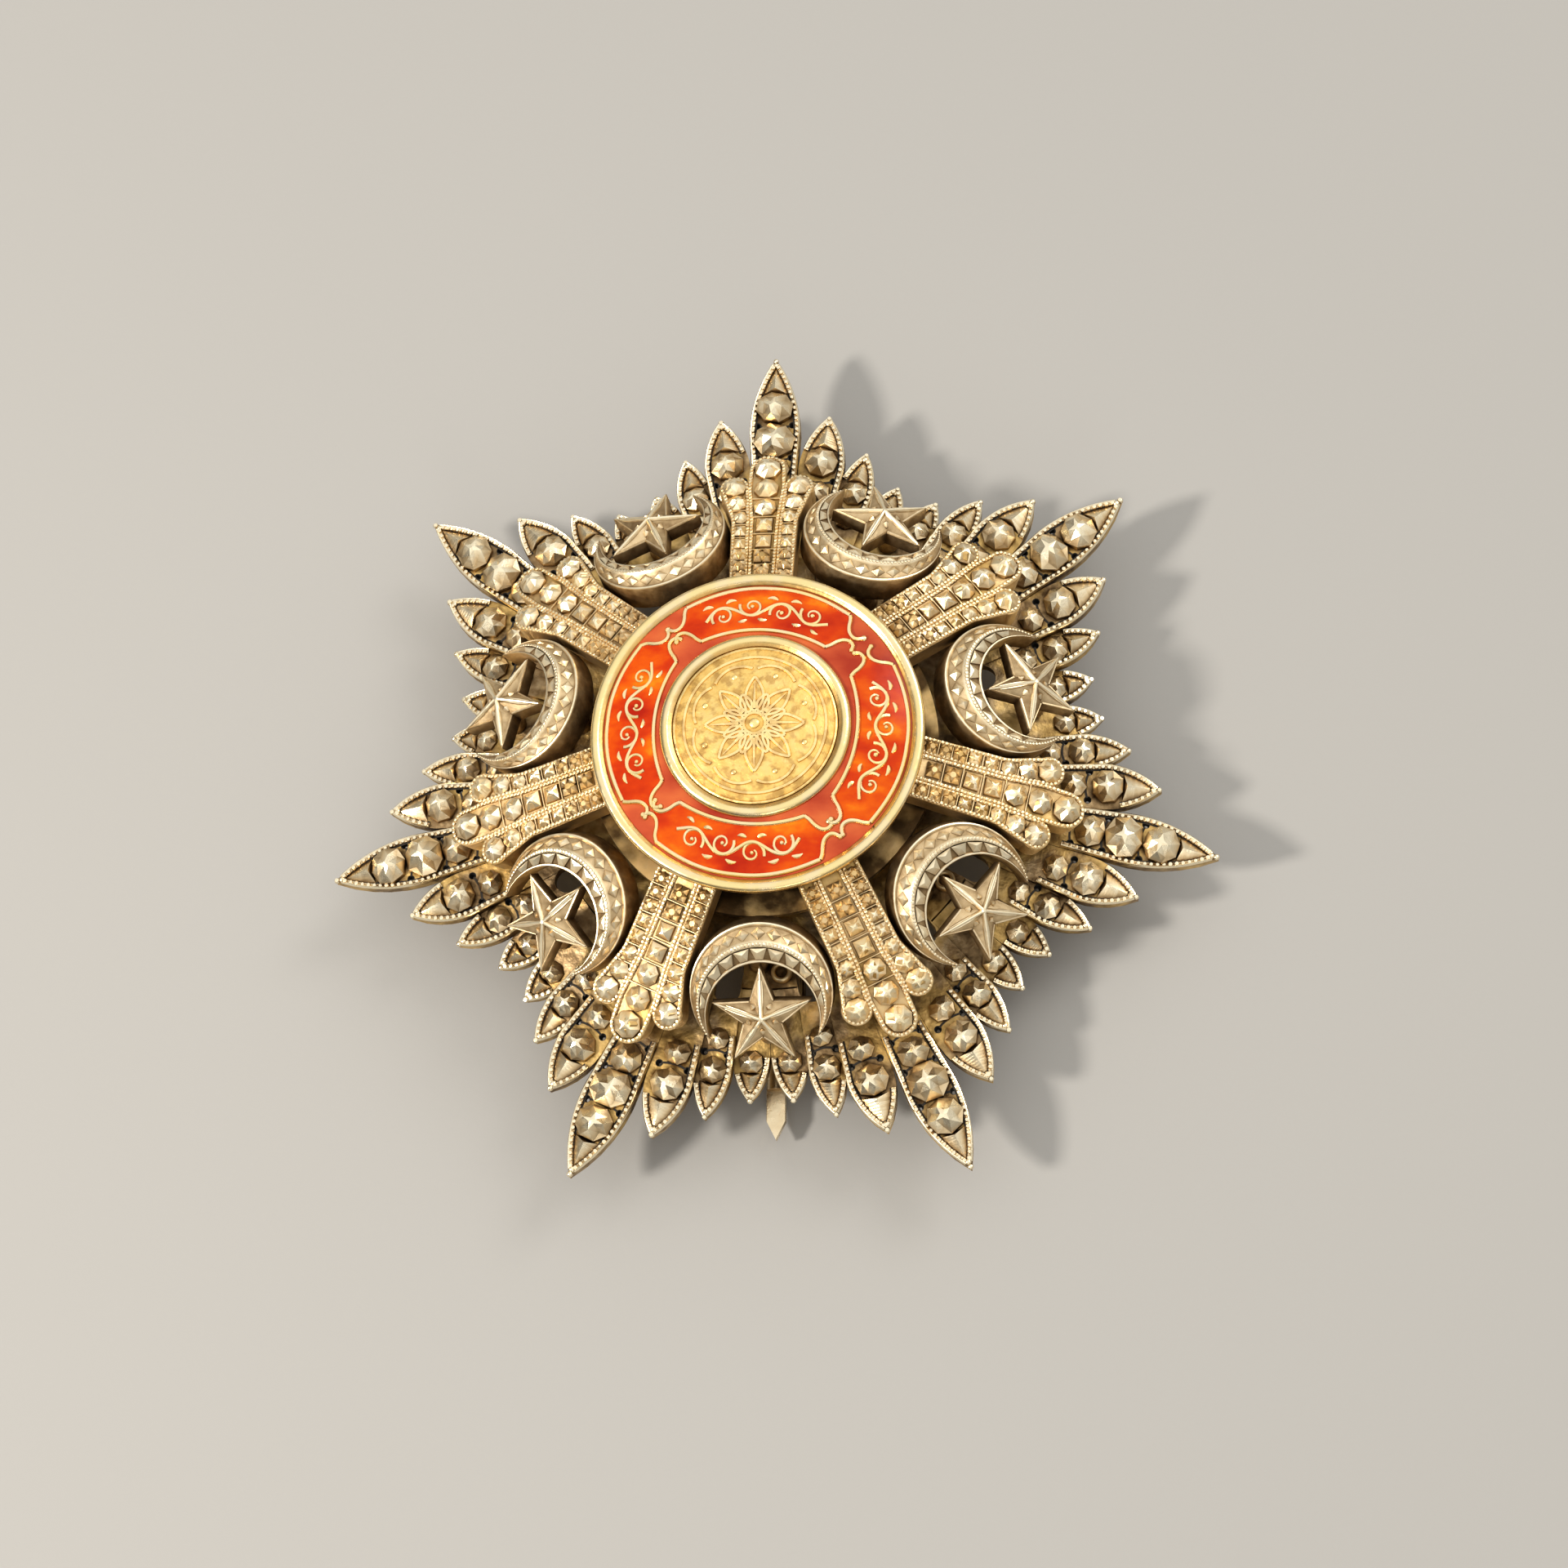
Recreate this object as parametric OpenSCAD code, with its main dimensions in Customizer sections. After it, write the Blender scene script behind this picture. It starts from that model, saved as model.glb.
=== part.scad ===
// A breast star: a rayed silver plate with gilt arms, crescents, small stars and an enamelled medallion.
// Millimetres. The origin is the centre of the plate's flat rear face. +Z is the worn front and +Y is up.

/* [Rayed plate] */
// Radius of the circle through the main tips
star_r = 45; // [43:0.5:48]
// Thickness of the plate and its rays
plate_t = 1.15; // [1.05:0.05:1.5]
// Width of a main ray
ray_w = 5.2; // [4.8:0.1:5.6]
// Radius of the flat hub that the rays spring from
hub_r = 22.5; // [22:0.5:23.5]
// Drop of the main tips below the front of the hub
crown = 1.3; // [0.8:0.1:1.8]
// Further drop of the lowest tips in the valleys
valley = 1.7; // [1.2:0.1:2]
// Diameter of the drilled holes beside the studs
drill_d = 0.76; // [0.6:0.02:0.9]
// Width of the windows under the crescents
window_w = 2.6; // [2:0.1:3]
// Length of the windows under the crescents
window_l = 4.6; // [3.6:0.1:5]

/* [Arms] */
// Radius that the rounded ends of the arms reach
arm_reach = 31.8; // [30.5:0.1:33]
// Height of the arms' front at their outer ends
arm_end_z = 5.3; // [4.8:0.1:6]
// Slope of the arms
arm_slope = 20; // [18:0.5:22]
// Thickness of an arm
arm_t = 2.3; // [2:0.1:2.6]
// Width across the three rounded ends of an arm
arm_w = 9.1; // [8.6:0.1:9.4]
// Width of the rounded end of the middle row
row_w = 3.7; // [3.4:0.1:4]
// Diameter of the foot under an arm
foot_d = 3; // [2.4:0.1:3.6]

/* [Crescents and small stars] */
// Radius at which the crescents' centres lie
emblem_r = 24.6; // [24:0.1:25.5]
// Height of the crescents' rim at their centres
emblem_z = 7.46; // [7:0.1:8]
// Outward tilt of the crescents and stars
emblem_tilt = 30; // [26:0.5:32]
// Width of a crescent at its middle
crescent_w = 4.05; // [3.6:0.05:4.3]
// Height of a crescent's wall
crescent_wall = 2.5; // [2.1:0.1:2.8]
// Height of a crescent's ridge above its rim
crescent_roof = 1; // [0.7:0.05:1.2]
// Distance of a small star's centre outward from its crescent's centre
star_out = 2.42; // [2.2:0.02:2.6]
// Height of a small star's peak above its rim
star_peak = 1.2; // [0.9:0.05:1.4]
// Thickness of a small star at its rim
star_edge = 1.4; // [1.1:0.1:1.7]
// Diameter of the posts under crescents and stars
post_d = 2; // [1.7:0.1:2.2]
// Outer diameter of the hollow rivets
eyelet_d = 2.1; // [1.8:0.1:2.2]
// Bore of the hollow rivets
eyelet_bore = 1.1; // [0.9:0.1:1.2]
// Height of the hollow rivets
eyelet_h = 0.8; // [0.6:0.1:1.2]

/* [Medallion] */
// Outer radius of the gold rim
medal_r = 16.24; // [15.8:0.02:16.6]
// Width of the gold rim
rim_w = 1.24; // [1:0.02:1.4]
// Height of the rim above the medallion's underside
medal_h = 1.66; // [1.5:0.02:2]
// Radius of curvature of the domed front
dome_r = 49; // [46:0.5:56]
// Outer radius of the inner gold ring
ring_r = 9.31; // [9:0.01:9.5]
// Width of the inner gold ring
ring_w = 1.3; // [1.1:0.05:1.5]
// Thickness of the enamel
enamel_t = 0.6; // [0.5:0.05:0.7]
// Width of the gold cell walls round the cartouches
wire_w = 0.3; // [0.25:0.01:0.36]
// Turn of the medallion about its axis
medal_turn = 6.5; // [4:0.5:9]
// Wall of the drum under the medallion
drum_wall = 0.8; // [0.7:0.1:1.2]
// Outer radius of the web round the drum
web_r = 17.2; // [16.9:0.1:17.6]

/* [Pin] */
// Diameter of the pin's shaft
pin_d = 2; // [1.7:0.1:2.2]
// Distance of the pin's point below the star's centre
pin_reach = 36; // [35:0.1:38]
// Depth of the hinge and catch behind the plate
pin_depth = 8; // [7.6:0.1:8.6]
// Distance of the hinge and of the catch from the centre
hinge_y = 20; // [19:0.1:20]
// Diameter of the hinge's barrel
barrel_d = 4.4; // [4:0.1:4.8]
// Width of the hinge across its lugs
hinge_w = 14; // [12:0.5:16]
// Width of the catch
catch_w = 5.2; // [4.6:0.1:6]

/* [Fits] */
// Gap between a piece and what it sits on
seat = 0.08; // [0.05:0.01:0.12]
// Gap between a crescent and the arms beside it
side_gap = 0.25; // [0.2:0.01:0.35]
// Gap between an enamel piece and its cell
cell_gap = 0.04; // [0.03:0.01:0.05]
// Gap round the pin in its hinge and catch
pin_gap = 0.2; // [0.15:0.01:0.25]

/* [Hidden] */
$fn = 64;
groups = 7;
pitch = 360 / groups;
sink = 0.12;
far = 100;

silver = [0.62, 0.58, 0.5];
gilt = [0.78, 0.66, 0.42];
gold = [0.9, 0.76, 0.45];
red = [0.78, 0.16, 0.1];
orange = [0.92, 0.3, 0.08];

// Rays of one half group. Columns: angle from the main ray as a share of the pitch, tip radius as a share
// of star_r, half width and shoulder length as shares of ray_w, tip drop as a share of valley
RAYS = [
    [0, 1, 0.5, 1.65, 0],
    [0.1625, 0.858, 0.45, 1.12, -0.16],
    [0.2965, 0.791, 0.355, 0.94, 0.37],
    [0.428, 0.74, 0.355, 0.85, 1]
];
// Studs on the rays. Columns: row in RAYS, distance from the axis as a share of star_r, radius as a share of ray_w
STUDS = [
    [0, 0.873, 0.32],
    [0, 0.79, 0.35],
    [0, 0.716, 0.27],
    [1, 0.74, 0.285],
    [1, 0.666, 0.22],
    [2, 0.682, 0.235],
    [2, 0.613, 0.19],
    [3, 0.65, 0.2]
];
// Pairs of drilled holes. Columns: row in RAYS, distance from the axis as a share of star_r,
// distance from the ray's middle as a share of ray_w
DRILLS = [
    [0, 0.831, 0.345],
    [0, 0.749, 0.325],
    [0, 0.678, 0.3],
    [1, 0.698, 0.28],
    [2, 0.645, 0.22]
];
// Rows of an arm from its outer end inwards. Columns: distance from the middle row's end centre as a share
// of the arm's length, half width of the middle row, place and half width of a side row as shares of arm_w
ROWS = [
    [0, 0.203, 0, 0],
    [0.155, 0.215, 0.355, 0.165],
    [0.43, 0.17, 0.262, 0.106],
    [1, 0.15, 0.242, 0.1]
];
// Half outline of a cartouche. Columns: angle from its middle as a share of a quarter turn, place between
// the inner ring and the rim as a share
CARTOUCHE = [
    [0.37, 0.945],
    [0.428, 0.71],
    [0.466, 0.64],
    [0.466, 0.57],
    [0.436, 0.47],
    [0.418, 0.31],
    [0.4, 0.17]
];
cartouche_waist = 0.085;

arc_steps = 5;
root_in = 0.25;
root_lap = 0.1;
// Rings of a cut stud. Columns: radius and height as shares of its radius
STUD_RINGS = [
    [0.76, 0.38],
    [0.36, 0.7]
];
tip_rise = 0.55;
tip_margin = 0.45;

arm_root = medal_r - 0.9;
arm_len = (arm_reach - row_w / 2 - arm_root) / cos(arm_slope);
function arm_top(r) = arm_end_z + (arm_reach - r) * tan(arm_slope);
medal_z = arm_top(arm_root) + 2 * seat;
drum_r = arm_root - arm_t * sin(arm_slope) - 2 * seat;
web_t = 0.7;
web_top = arm_top(web_r) - arm_t / cos(arm_slope) - 2 * seat;

// Half width of an arm where a crescent comes nearest to it
waist = arm_w * (ROWS[2][2] + ROWS[2][3]);
half = pitch / 2;
spread = sqrt(pow(cos(half), 2) + pow(cos(emblem_tilt) * sin(half), 2));
// How far the part of a crescent's leaning wall that passes an arm comes closer to it than the rim does
lean = 0.6 * crescent_wall * sin(emblem_tilt) * sin(half);
crescent_r = (emblem_r * sin(half) - waist - lean - side_gap) / spread;
horn_angle = 48;
bite = crescent_r - crescent_w;
inner_off = (pow(crescent_r, 2) - pow(bite, 2)) / (2 * (crescent_r * cos(horn_angle) + bite));
inner_r = inner_off + bite;
small_star_r = bite + star_out - side_gap;
small_star_waist = 0.4;
star_lift = 0.2;
post_in = 4.7;
post_side = 0.95;
eyelet_in = 3.55;
eyelet_side = 1.25;
window_in = 2.7;
window_angle = 10.4;

rim_z = medal_z + medal_h;
dome_z = rim_z - 0.35 - sqrt(pow(dome_r, 2) - pow(medal_r - rim_w, 2));
floor_t = 0.5;
arc_points = 9;
wire_rise = 0.12;
ring_rise = 0.35;
disc_r = ring_r - ring_w - cell_gap;

pin_z = barrel_d / 2 - pin_depth;
barrel_l = 6;
lug_d = barrel_d;
catch_l = 4;
blade_l = 5;
blade_t = 0.9;

function ray_angle(k) = RAYS[k][0] * pitch;
function tip_r(k) = RAYS[k][1] * star_r;
function ray_half(k) = RAYS[k][2] * ray_w;
function shoulder(k) = RAYS[k][3] * ray_w;
function tip_drop(k) = crown + RAYS[k][4] * valley;
// Step down from the hub's front to the root of a ray: each kind of ray starts a little lower than the last
function root_step(k) = 0.12 + 0.04 * k;
function ray_slope(k) = atan((tip_drop(k) - root_step(k)) / (tip_r(k) - hub_r));
// Radius of the arc that runs from a ray's tip to its shoulder
function ogive(k) = (pow(shoulder(k), 2) + pow(ray_half(k), 2)) / (2 * ray_half(k));
// Half width of a ray at a distance from its tip
function width_at(k, d) = sqrt(pow(ogive(k), 2) - pow(max(0, shoulder(k) - d), 2)) - ogive(k) + ray_half(k);
function gap_angle(k) = k == 0 ? ray_angle(1) / 2
    : k == 3 ? (pitch / 2 - ray_angle(3) + (ray_angle(3) - ray_angle(2)) / 2) / 2
    : (ray_angle(k + 1) - ray_angle(k - 1)) / 4;
function ray_side(k, side) = concat(
    [for (i = [0:arc_steps]) let (d = shoulder(k) * i / arc_steps) [side * width_at(k, d), -d]],
    [[side * ((hub_r - root_in) * tan(gap_angle(k)) + root_lap), hub_r - root_in - tip_r(k)]]
);
function backwards(list) = [for (i = [len(list) - 1:-1:0]) list[i]];
function on_circle(r, a) = [r * sin(a), r * cos(a)];

// Places children at a tip of one kind of ray, with -Y running up the ray towards the hub
module at_tip(k, side, group) {
    rotate([0, 0, -(group * pitch + side * ray_angle(k))])
        translate([0, tip_r(k), plate_t - tip_drop(k)])
            rotate([-ray_slope(k), 0, 0]) children();
}

module each_ray(k) {
    for (group = [0:groups - 1])
        for (side = k == 0 ? [1] : [-1, 1])
            at_tip(k, side, group) children();
}

module ray_blade(k) {
    translate([0, 0, -plate_t]) linear_extrude(plate_t)
        polygon(concat(ray_side(k, 1), backwards(ray_side(k, -1))));
}

// A faceted stud that stands in the plane of its ray or arm
module stud(r, sides = 8) {
    rings = concat([[r, -sink]], [for (ring = STUD_RINGS) ring * r]);
    top = len(rings) - 1;
    polyhedron(
        points = [for (ring = rings) for (j = [0:sides - 1]) let (a = 360 * (j + 0.5) / sides)
            [ring[0] * cos(a), ring[0] * sin(a), ring[1]]],
        faces = concat(
            [[for (j = [0:sides - 1]) j], [for (j = [sides - 1:-1:0]) top * sides + j]],
            [for (k = [0:top - 1]) for (j = [0:sides - 1]) let (next = (j + 1) % sides)
                [(k + 1) * sides + j, (k + 1) * sides + next, k * sides + next, k * sides + j]]
        )
    );
}

// The three-sided facet between a ray's tip and its outermost stud
module tip_facet(k, stud_at, stud_r) {
    back = tip_r(k) - stud_at - stud_r * 0.98;
    w = width_at(k, back) - tip_margin;
    polyhedron(
        points = [[0, -tip_margin * 2.4, -sink], [-w, -back, -sink], [w, -back, -sink],
            [0, -back * 0.86, tip_rise]],
        faces = [[0, 1, 2], [1, 0, 3], [2, 1, 3], [0, 2, 3]]
    );
}

function first_stud(k) = [for (s = STUDS) if (s[0] == k) s][0];

module window(side) {
    rotate([0, 0, side * window_angle]) translate([0, emblem_r - window_in, -far / 2]) {
        translate([-window_w / 2, (window_w - window_l) / 2, 0]) cube([window_w, window_l - window_w, far]);
        for (end = [-1, 1]) translate([0, end * (window_l - window_w) / 2, 0]) cylinder(h = far, d = window_w);
    }
}

module hinge_lugs() {
    difference() {
        for (side = [-1, 1]) {
            lug_w = (hinge_w - barrel_l) / 2 - pin_gap;
            translate([side * (hinge_w - lug_w) / 2, hinge_y, 0]) {
                translate([-lug_w / 2, -lug_d / 2, pin_z]) cube([lug_w, lug_d, plate_t / 2 - pin_z]);
                translate([-lug_w / 2, 0, pin_z]) rotate([0, 90, 0]) cylinder(h = lug_w, d = lug_d);
            }
        }
    }
}

module catch_hook() {
    bore = pin_d / 2 + pin_gap;
    difference() {
        translate([-catch_w / 2, -hinge_y - catch_l / 2, -pin_depth])
            cube([catch_w, catch_l, pin_depth + plate_t / 2]);
        translate([0, -hinge_y, pin_z]) rotate([90, 0, 0]) cylinder(h = 2 * catch_l, r = bore, center = true);
        translate([0, -hinge_y - catch_l, pin_z - bore * 0.6]) cube([catch_w, 2 * catch_l, bore * 1.6]);
    }
}

module base_star() {
    color(silver) {
        difference() {
            union() {
                cylinder(h = plate_t, r = hub_r);
                for (k = [0:3]) each_ray(k) ray_blade(k);
            }
            for (d = DRILLS) each_ray(d[0])
                for (side = [-1, 1])
                    translate([side * d[2] * ray_w, d[1] * star_r - tip_r(d[0]), -far / 2])
                        cylinder(h = far, d = drill_d, $fn = 24);
            for (i = [0:groups - 1]) rotate([0, 0, -(i + 0.5) * pitch])
                for (side = [-1, 1]) window(side);
        }
        for (s = STUDS) each_ray(s[0]) translate([0, s[1] * star_r - tip_r(s[0]), 0]) stud(s[2] * ray_w);
        for (k = [0:3]) let (s = first_stud(k)) each_ray(k) tip_facet(k, s[1] * star_r, s[2] * ray_w);
        hinge_lugs();
        catch_hook();
    }
}

module collar() {
    color(gilt) difference() {
        union() {
            translate([0, 0, plate_t + seat]) cylinder(h = medal_z - plate_t - 2 * seat, r = drum_r);
            translate([0, 0, web_top - web_t]) cylinder(h = web_t, r = web_r);
        }
        translate([0, 0, -far / 2]) cylinder(h = far, r = drum_r - drum_wall);
    }
}

// Places children on the slope of an arm, with the origin at the centre of the middle row's rounded end
module on_arm(i) {
    rotate([0, 0, -i * pitch]) translate([0, arm_reach, arm_end_z]) rotate([-arm_slope, 0, 0])
        translate([0, -row_w / 2, 0]) children();
}

// One row between two sections: the ends of the strip and their half widths
module strip(a, b, place, wide) {
    polygon([
        [a[place] * arm_w - a[wide] * arm_w, -a[0] * arm_len], [a[place] * arm_w + a[wide] * arm_w, -a[0] * arm_len],
        [b[place] * arm_w + b[wide] * arm_w, -b[0] * arm_len], [b[place] * arm_w - b[wide] * arm_w, -b[0] * arm_len]
    ]);
}

module arm_outline() {
    circle(d = row_w);
    polygon([
        [-row_w / 2, 0], [-ROWS[1][1] * arm_w, -ROWS[1][0] * arm_len],
        [-ROWS[2][1] * arm_w, -ROWS[2][0] * arm_len], [-ROWS[3][1] * arm_w, -arm_len],
        [ROWS[3][1] * arm_w, -arm_len], [ROWS[2][1] * arm_w, -ROWS[2][0] * arm_len],
        [ROWS[1][1] * arm_w, -ROWS[1][0] * arm_len], [row_w / 2, 0]
    ]);
    for (side = [0, 1]) mirror([side, 0]) {
        translate([ROWS[1][2] * arm_w, -ROWS[1][0] * arm_len]) circle(r = ROWS[1][3] * arm_w);
        strip(ROWS[1], ROWS[2], 2, 3);
        strip(ROWS[2], ROWS[3], 2, 3);
    }
}

// Value of a column of ROWS at a distance along the arm, between its two nearest sections
function row_at(col, y) = lookup(y / arm_len, [for (r = ROWS) [r[0], r[col]]]) * arm_w;
// Distances of the studs along a row: each step is a little shorter than the one before
function steps(y, step, stop) = y > stop ? [] : concat([y], steps(y + step, step * 0.93, stop));
middle_studs = steps(0, row_w * 0.73, arm_len - 0.6);
side_studs = steps(ROWS[1][0] * arm_len, row_w * 0.565, arm_len - 0.6);

module arm(i) {
    color(gilt) {
        on_arm(i) {
            translate([0, 0, -arm_t]) linear_extrude(arm_t) arm_outline();
            for (y = middle_studs)
                translate([0, -y, 0]) stud(lookup(y / arm_len, [[0, 0.385], [0.4, 0.3], [1, 0.19]]) * row_w);
            for (y = side_studs) for (side = [-1, 1])
                translate([side * row_at(2, y), -y, 0]) stud(row_at(3, y) * 0.85, 6);
        }
        rotate([0, 0, -i * pitch]) translate([0, arm_reach - 4.8, plate_t + seat - 0.1])
            cylinder(h = arm_top(arm_reach - 4.8) - arm_t - plate_t, d = foot_d);
    }
}

// Places children in the tilted plane of a crescent and its star, with +Y outward
module on_emblem(i) {
    rotate([0, 0, -(i - 0.5) * pitch]) translate([0, emblem_r, emblem_z]) rotate([-emblem_tilt, 0, 0]) children();
}

roof_slope_out = crescent_roof / (crescent_w * 0.53);
roof_slope_in = crescent_roof / (crescent_w * 0.47);
tooth_in = crescent_w * 0.24;
tooth_out = crescent_w * 0.28;

module crescent_body() {
    lift = crescent_roof * 1.4;
    difference() {
        union() {
            translate([0, 0, -crescent_wall]) cylinder(h = crescent_wall, r = crescent_r);
            cylinder(h = lift, r1 = crescent_r, r2 = crescent_r - lift / roof_slope_out);
        }
        translate([0, inner_off, -crescent_wall - 1]) cylinder(h = crescent_wall + 1, r = inner_r);
        translate([0, inner_off, 0]) cylinder(h = 2 * lift, r1 = inner_r, r2 = inner_r + 2 * lift / roof_slope_in);
    }
}

// A row of pyramids sunk a little into one slope of a crescent, centred on the middle of the crescent
module teeth(centre, ring, rise, count, step, size) {
    for (t = [0:count - 1]) let (a = 180 + (t - (count - 1) / 2) * step)
        translate([ring * sin(a), centre + ring * cos(a), rise - size * 0.6]) rotate([0, 0, -a])
            cylinder(h = size * 1.5, r1 = size, r2 = 0, $fn = 4);
}

module crescent(i) {
    color(silver) {
        on_emblem(i) {
            crescent_body();
            teeth(inner_off, inner_r + tooth_in, tooth_in * roof_slope_in, 9, 11.5, crescent_w * 0.17);
            teeth(0, crescent_r - tooth_out, tooth_out * roof_slope_out, 13, 9.5, crescent_w * 0.14);
        }
        rotate([0, 0, -(i - 0.5) * pitch]) translate([post_side, emblem_r - post_in, plate_t + seat])
            cylinder(h = emblem_z + post_in * tan(emblem_tilt) - crescent_wall * 0.65 - plate_t, d = post_d);
    }
}

function star_point(r, j, z) = [r * sin(180 - j * 36), r * cos(180 - j * 36), z];

module star_body() {
    ring = [for (z = [0, -star_edge]) for (j = [0:9])
        star_point(j % 2 == 0 ? small_star_r : small_star_r * small_star_waist, j, z)];
    polyhedron(
        points = concat(ring, [[0, 0, star_peak]]),
        faces = concat(
            [for (j = [0:9]) [20, (j + 1) % 10, j]],
            [for (j = [0:9]) [j, (j + 1) % 10, 10 + (j + 1) % 10, 10 + j]],
            [[for (j = [10:19]) j]]
        )
    );
}

module small_star(i) {
    star_r_out = emblem_r + star_out * cos(emblem_tilt);
    star_z = emblem_z - star_out * sin(emblem_tilt);
    foot_z = plate_t - root_step(3) - (star_r_out - post_d / 2 - hub_r) * tan(ray_slope(3)) + 2 * seat;
    color(silver) {
        on_emblem(i) translate([0, star_out, star_lift]) star_body();
        rotate([0, 0, -(i - 0.5) * pitch]) translate([0, star_r_out, foot_z])
            cylinder(h = star_z - foot_z - star_edge * 0.4, d = post_d);
    }
}

module eyelet(i) {
    color(gilt) rotate([0, 0, -(i - 0.5) * pitch])
        translate([-eyelet_side, emblem_r - eyelet_in, plate_t + seat]) difference() {
            cylinder(h = eyelet_h, d = eyelet_d);
            translate([0, 0, -1]) cylinder(h = eyelet_h + 2, d = eyelet_bore);
        }
}

// The part of its children under the domed front, moved up or down by rise
module under_dome(rise) {
    intersection() {
        translate([0, 0, dome_z]) sphere(r = dome_r + rise, $fn = 128);
        children();
    }
}

module tube(r_out, r_in, z, h) {
    translate([0, 0, z]) difference() {
        cylinder(h = h, r = r_out);
        translate([0, 0, -1]) cylinder(h = h + 2, r = r_in);
    }
}

band_in = ring_r;
band_w = medal_r - rim_w - ring_r;
function cartouche_half(side) = [for (c = CARTOUCHE) on_circle(band_in + band_w * c[1], side * c[0] * 90)];
function cartouche_arc(share, middle, from, to) = [for (i = [1:arc_points]) let (t = 2 * i / (arc_points + 1) - 1)
    on_circle(band_in + band_w * (middle + (share - middle) * t * t), (from + to + (to - from) * t) * 45)];
cartouche_end = CARTOUCHE[len(CARTOUCHE) - 1];
cartouche_outline = concat(
    cartouche_half(1),
    cartouche_arc(cartouche_end[1], cartouche_waist, cartouche_end[0], -cartouche_end[0]),
    backwards(cartouche_half(-1)),
    cartouche_arc(CARTOUCHE[0][1], CARTOUCHE[0][1], -CARTOUCHE[0][0], CARTOUCHE[0][0])
);
// Outward normal of the edge from a to b of an outline that runs clockwise
function normal(a, b) = [a[1] - b[1], b[0] - a[0]] / norm(b - a);
function grown(outline, margin) = [for (i = [0:len(outline) - 1])
    let (here = outline[i], m = normal(outline[(i + len(outline) - 1) % len(outline)], here),
        n = normal(here, outline[(i + 1) % len(outline)])) here + (m + n) * margin / (1 + m * n)];

module cartouche(i, margin) {
    rotate([0, 0, -(i - 1) * 90 - medal_turn]) translate([0, 0, medal_z])
        linear_extrude(2 * dome_r) polygon(grown(cartouche_outline, margin));
}

module medallion_cup() {
    color(gold) difference() {
        union() {
            under_dome(-enamel_t) translate([0, 0, medal_z]) cylinder(h = dome_r, r = medal_r - rim_w / 2);
            translate([0, 0, medal_z]) rotate_extrude($fn = 96) polygon([
                [medal_r - rim_w, 0], [medal_r - rim_w * 0.25, 0], [medal_r - rim_w * 0.25, medal_h * 0.35],
                [medal_r, medal_h * 0.5], [medal_r, medal_h * 0.72], [medal_r - rim_w * 0.12, medal_h * 0.92],
                [medal_r - rim_w * 0.35, medal_h], [medal_r - rim_w * 0.65, medal_h],
                [medal_r - rim_w * 0.9, medal_h * 0.93], [medal_r - rim_w, medal_h * 0.8]
            ]);
            under_dome(ring_rise) tube(ring_r, ring_r - ring_w, medal_z, dome_r);
            for (i = [1:4]) under_dome(wire_rise) difference() {
                cartouche(i, 0);
                translate([0, 0, -1]) cartouche(i, -wire_w);
            }
        }
        under_dome(-enamel_t - floor_t) translate([0, 0, medal_z - 1]) cylinder(h = dome_r, r = drum_r - drum_wall);
    }
}

// The part of its children between the cup's floor and the domed front, moved up or down by rise
module on_floor(rise) {
    difference() {
        under_dome(rise) children();
        translate([0, 0, dome_z]) sphere(r = dome_r - enamel_t + cell_gap, $fn = 128);
    }
}

module enamel_field() {
    color(red) on_floor(0) difference() {
        tube(medal_r - rim_w - cell_gap, ring_r + cell_gap, medal_z, 2 * dome_r);
        for (i = [1:4]) translate([0, 0, -1]) cartouche(i, cell_gap);
    }
}

module enamel_panel(i) {
    color(orange) on_floor(0.02) cartouche(i, -wire_w - cell_gap);
}

// A pointed petal between two arcs
module petal(length, width) {
    r = (pow(length, 2) + pow(width, 2)) / (4 * width);
    intersection() {
        translate([r - width / 2, 0, 0]) cylinder(h = far, r = r);
        translate([width / 2 - r, 0, 0]) cylinder(h = far, r = r);
    }
}

module centre_disc() {
    relief = 0.18;
    sunk = 0.1;
    color(gold) {
        on_floor(-sunk) translate([0, 0, medal_z]) cylinder(h = dome_r, r = disc_r);
        on_floor(relief - sunk) translate([0, 0, medal_z]) {
            for (i = [0:7]) rotate([0, 0, i * 45]) translate([0, disc_r * 0.46, 0]) petal(disc_r * 0.46, disc_r * 0.2);
            for (i = [0:7]) rotate([0, 0, i * 45 + 22.5]) translate([0, disc_r * 0.74, 0])
                cylinder(h = far, r = disc_r * 0.06, $fn = 24);
            cylinder(h = far, r = disc_r * 0.16, $fn = 32);
        }
    }
}

module brooch_pin() {
    shaft_l = hinge_y + pin_reach - blade_l;
    color(silver) {
        translate([-barrel_l / 2, hinge_y, pin_z]) rotate([0, 90, 0]) cylinder(h = barrel_l, d = barrel_d);
        translate([0, hinge_y, pin_z]) rotate([90, 0, 0]) cylinder(h = shaft_l, d = pin_d);
        intersection() {
            translate([0, -pin_reach + blade_l + 1, pin_z]) rotate([90, 0, 0]) cylinder(h = blade_l + 1, d = pin_d);
            translate([0, 0, pin_z - blade_t / 2]) linear_extrude(blade_t) polygon([
                [0, -pin_reach], [pin_d / 2, -pin_reach + pin_d], [pin_d / 2, -pin_reach + blade_l + 1],
                [-pin_d / 2, -pin_reach + blade_l + 1], [-pin_d / 2, -pin_reach + pin_d]
            ]);
        }
    }
}

base_star();
collar();
for (i = [1:groups]) arm(i);
for (i = [1:groups]) crescent(i);
for (i = [1:groups]) small_star(i);
for (i = [1:groups]) eyelet(i);
medallion_cup();
enamel_field();
for (i = [1:4]) enamel_panel(i);
centre_disc();
brooch_pin();
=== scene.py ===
import math
import random

import bmesh
import bpy
from mathutils import Matrix, Vector


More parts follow.
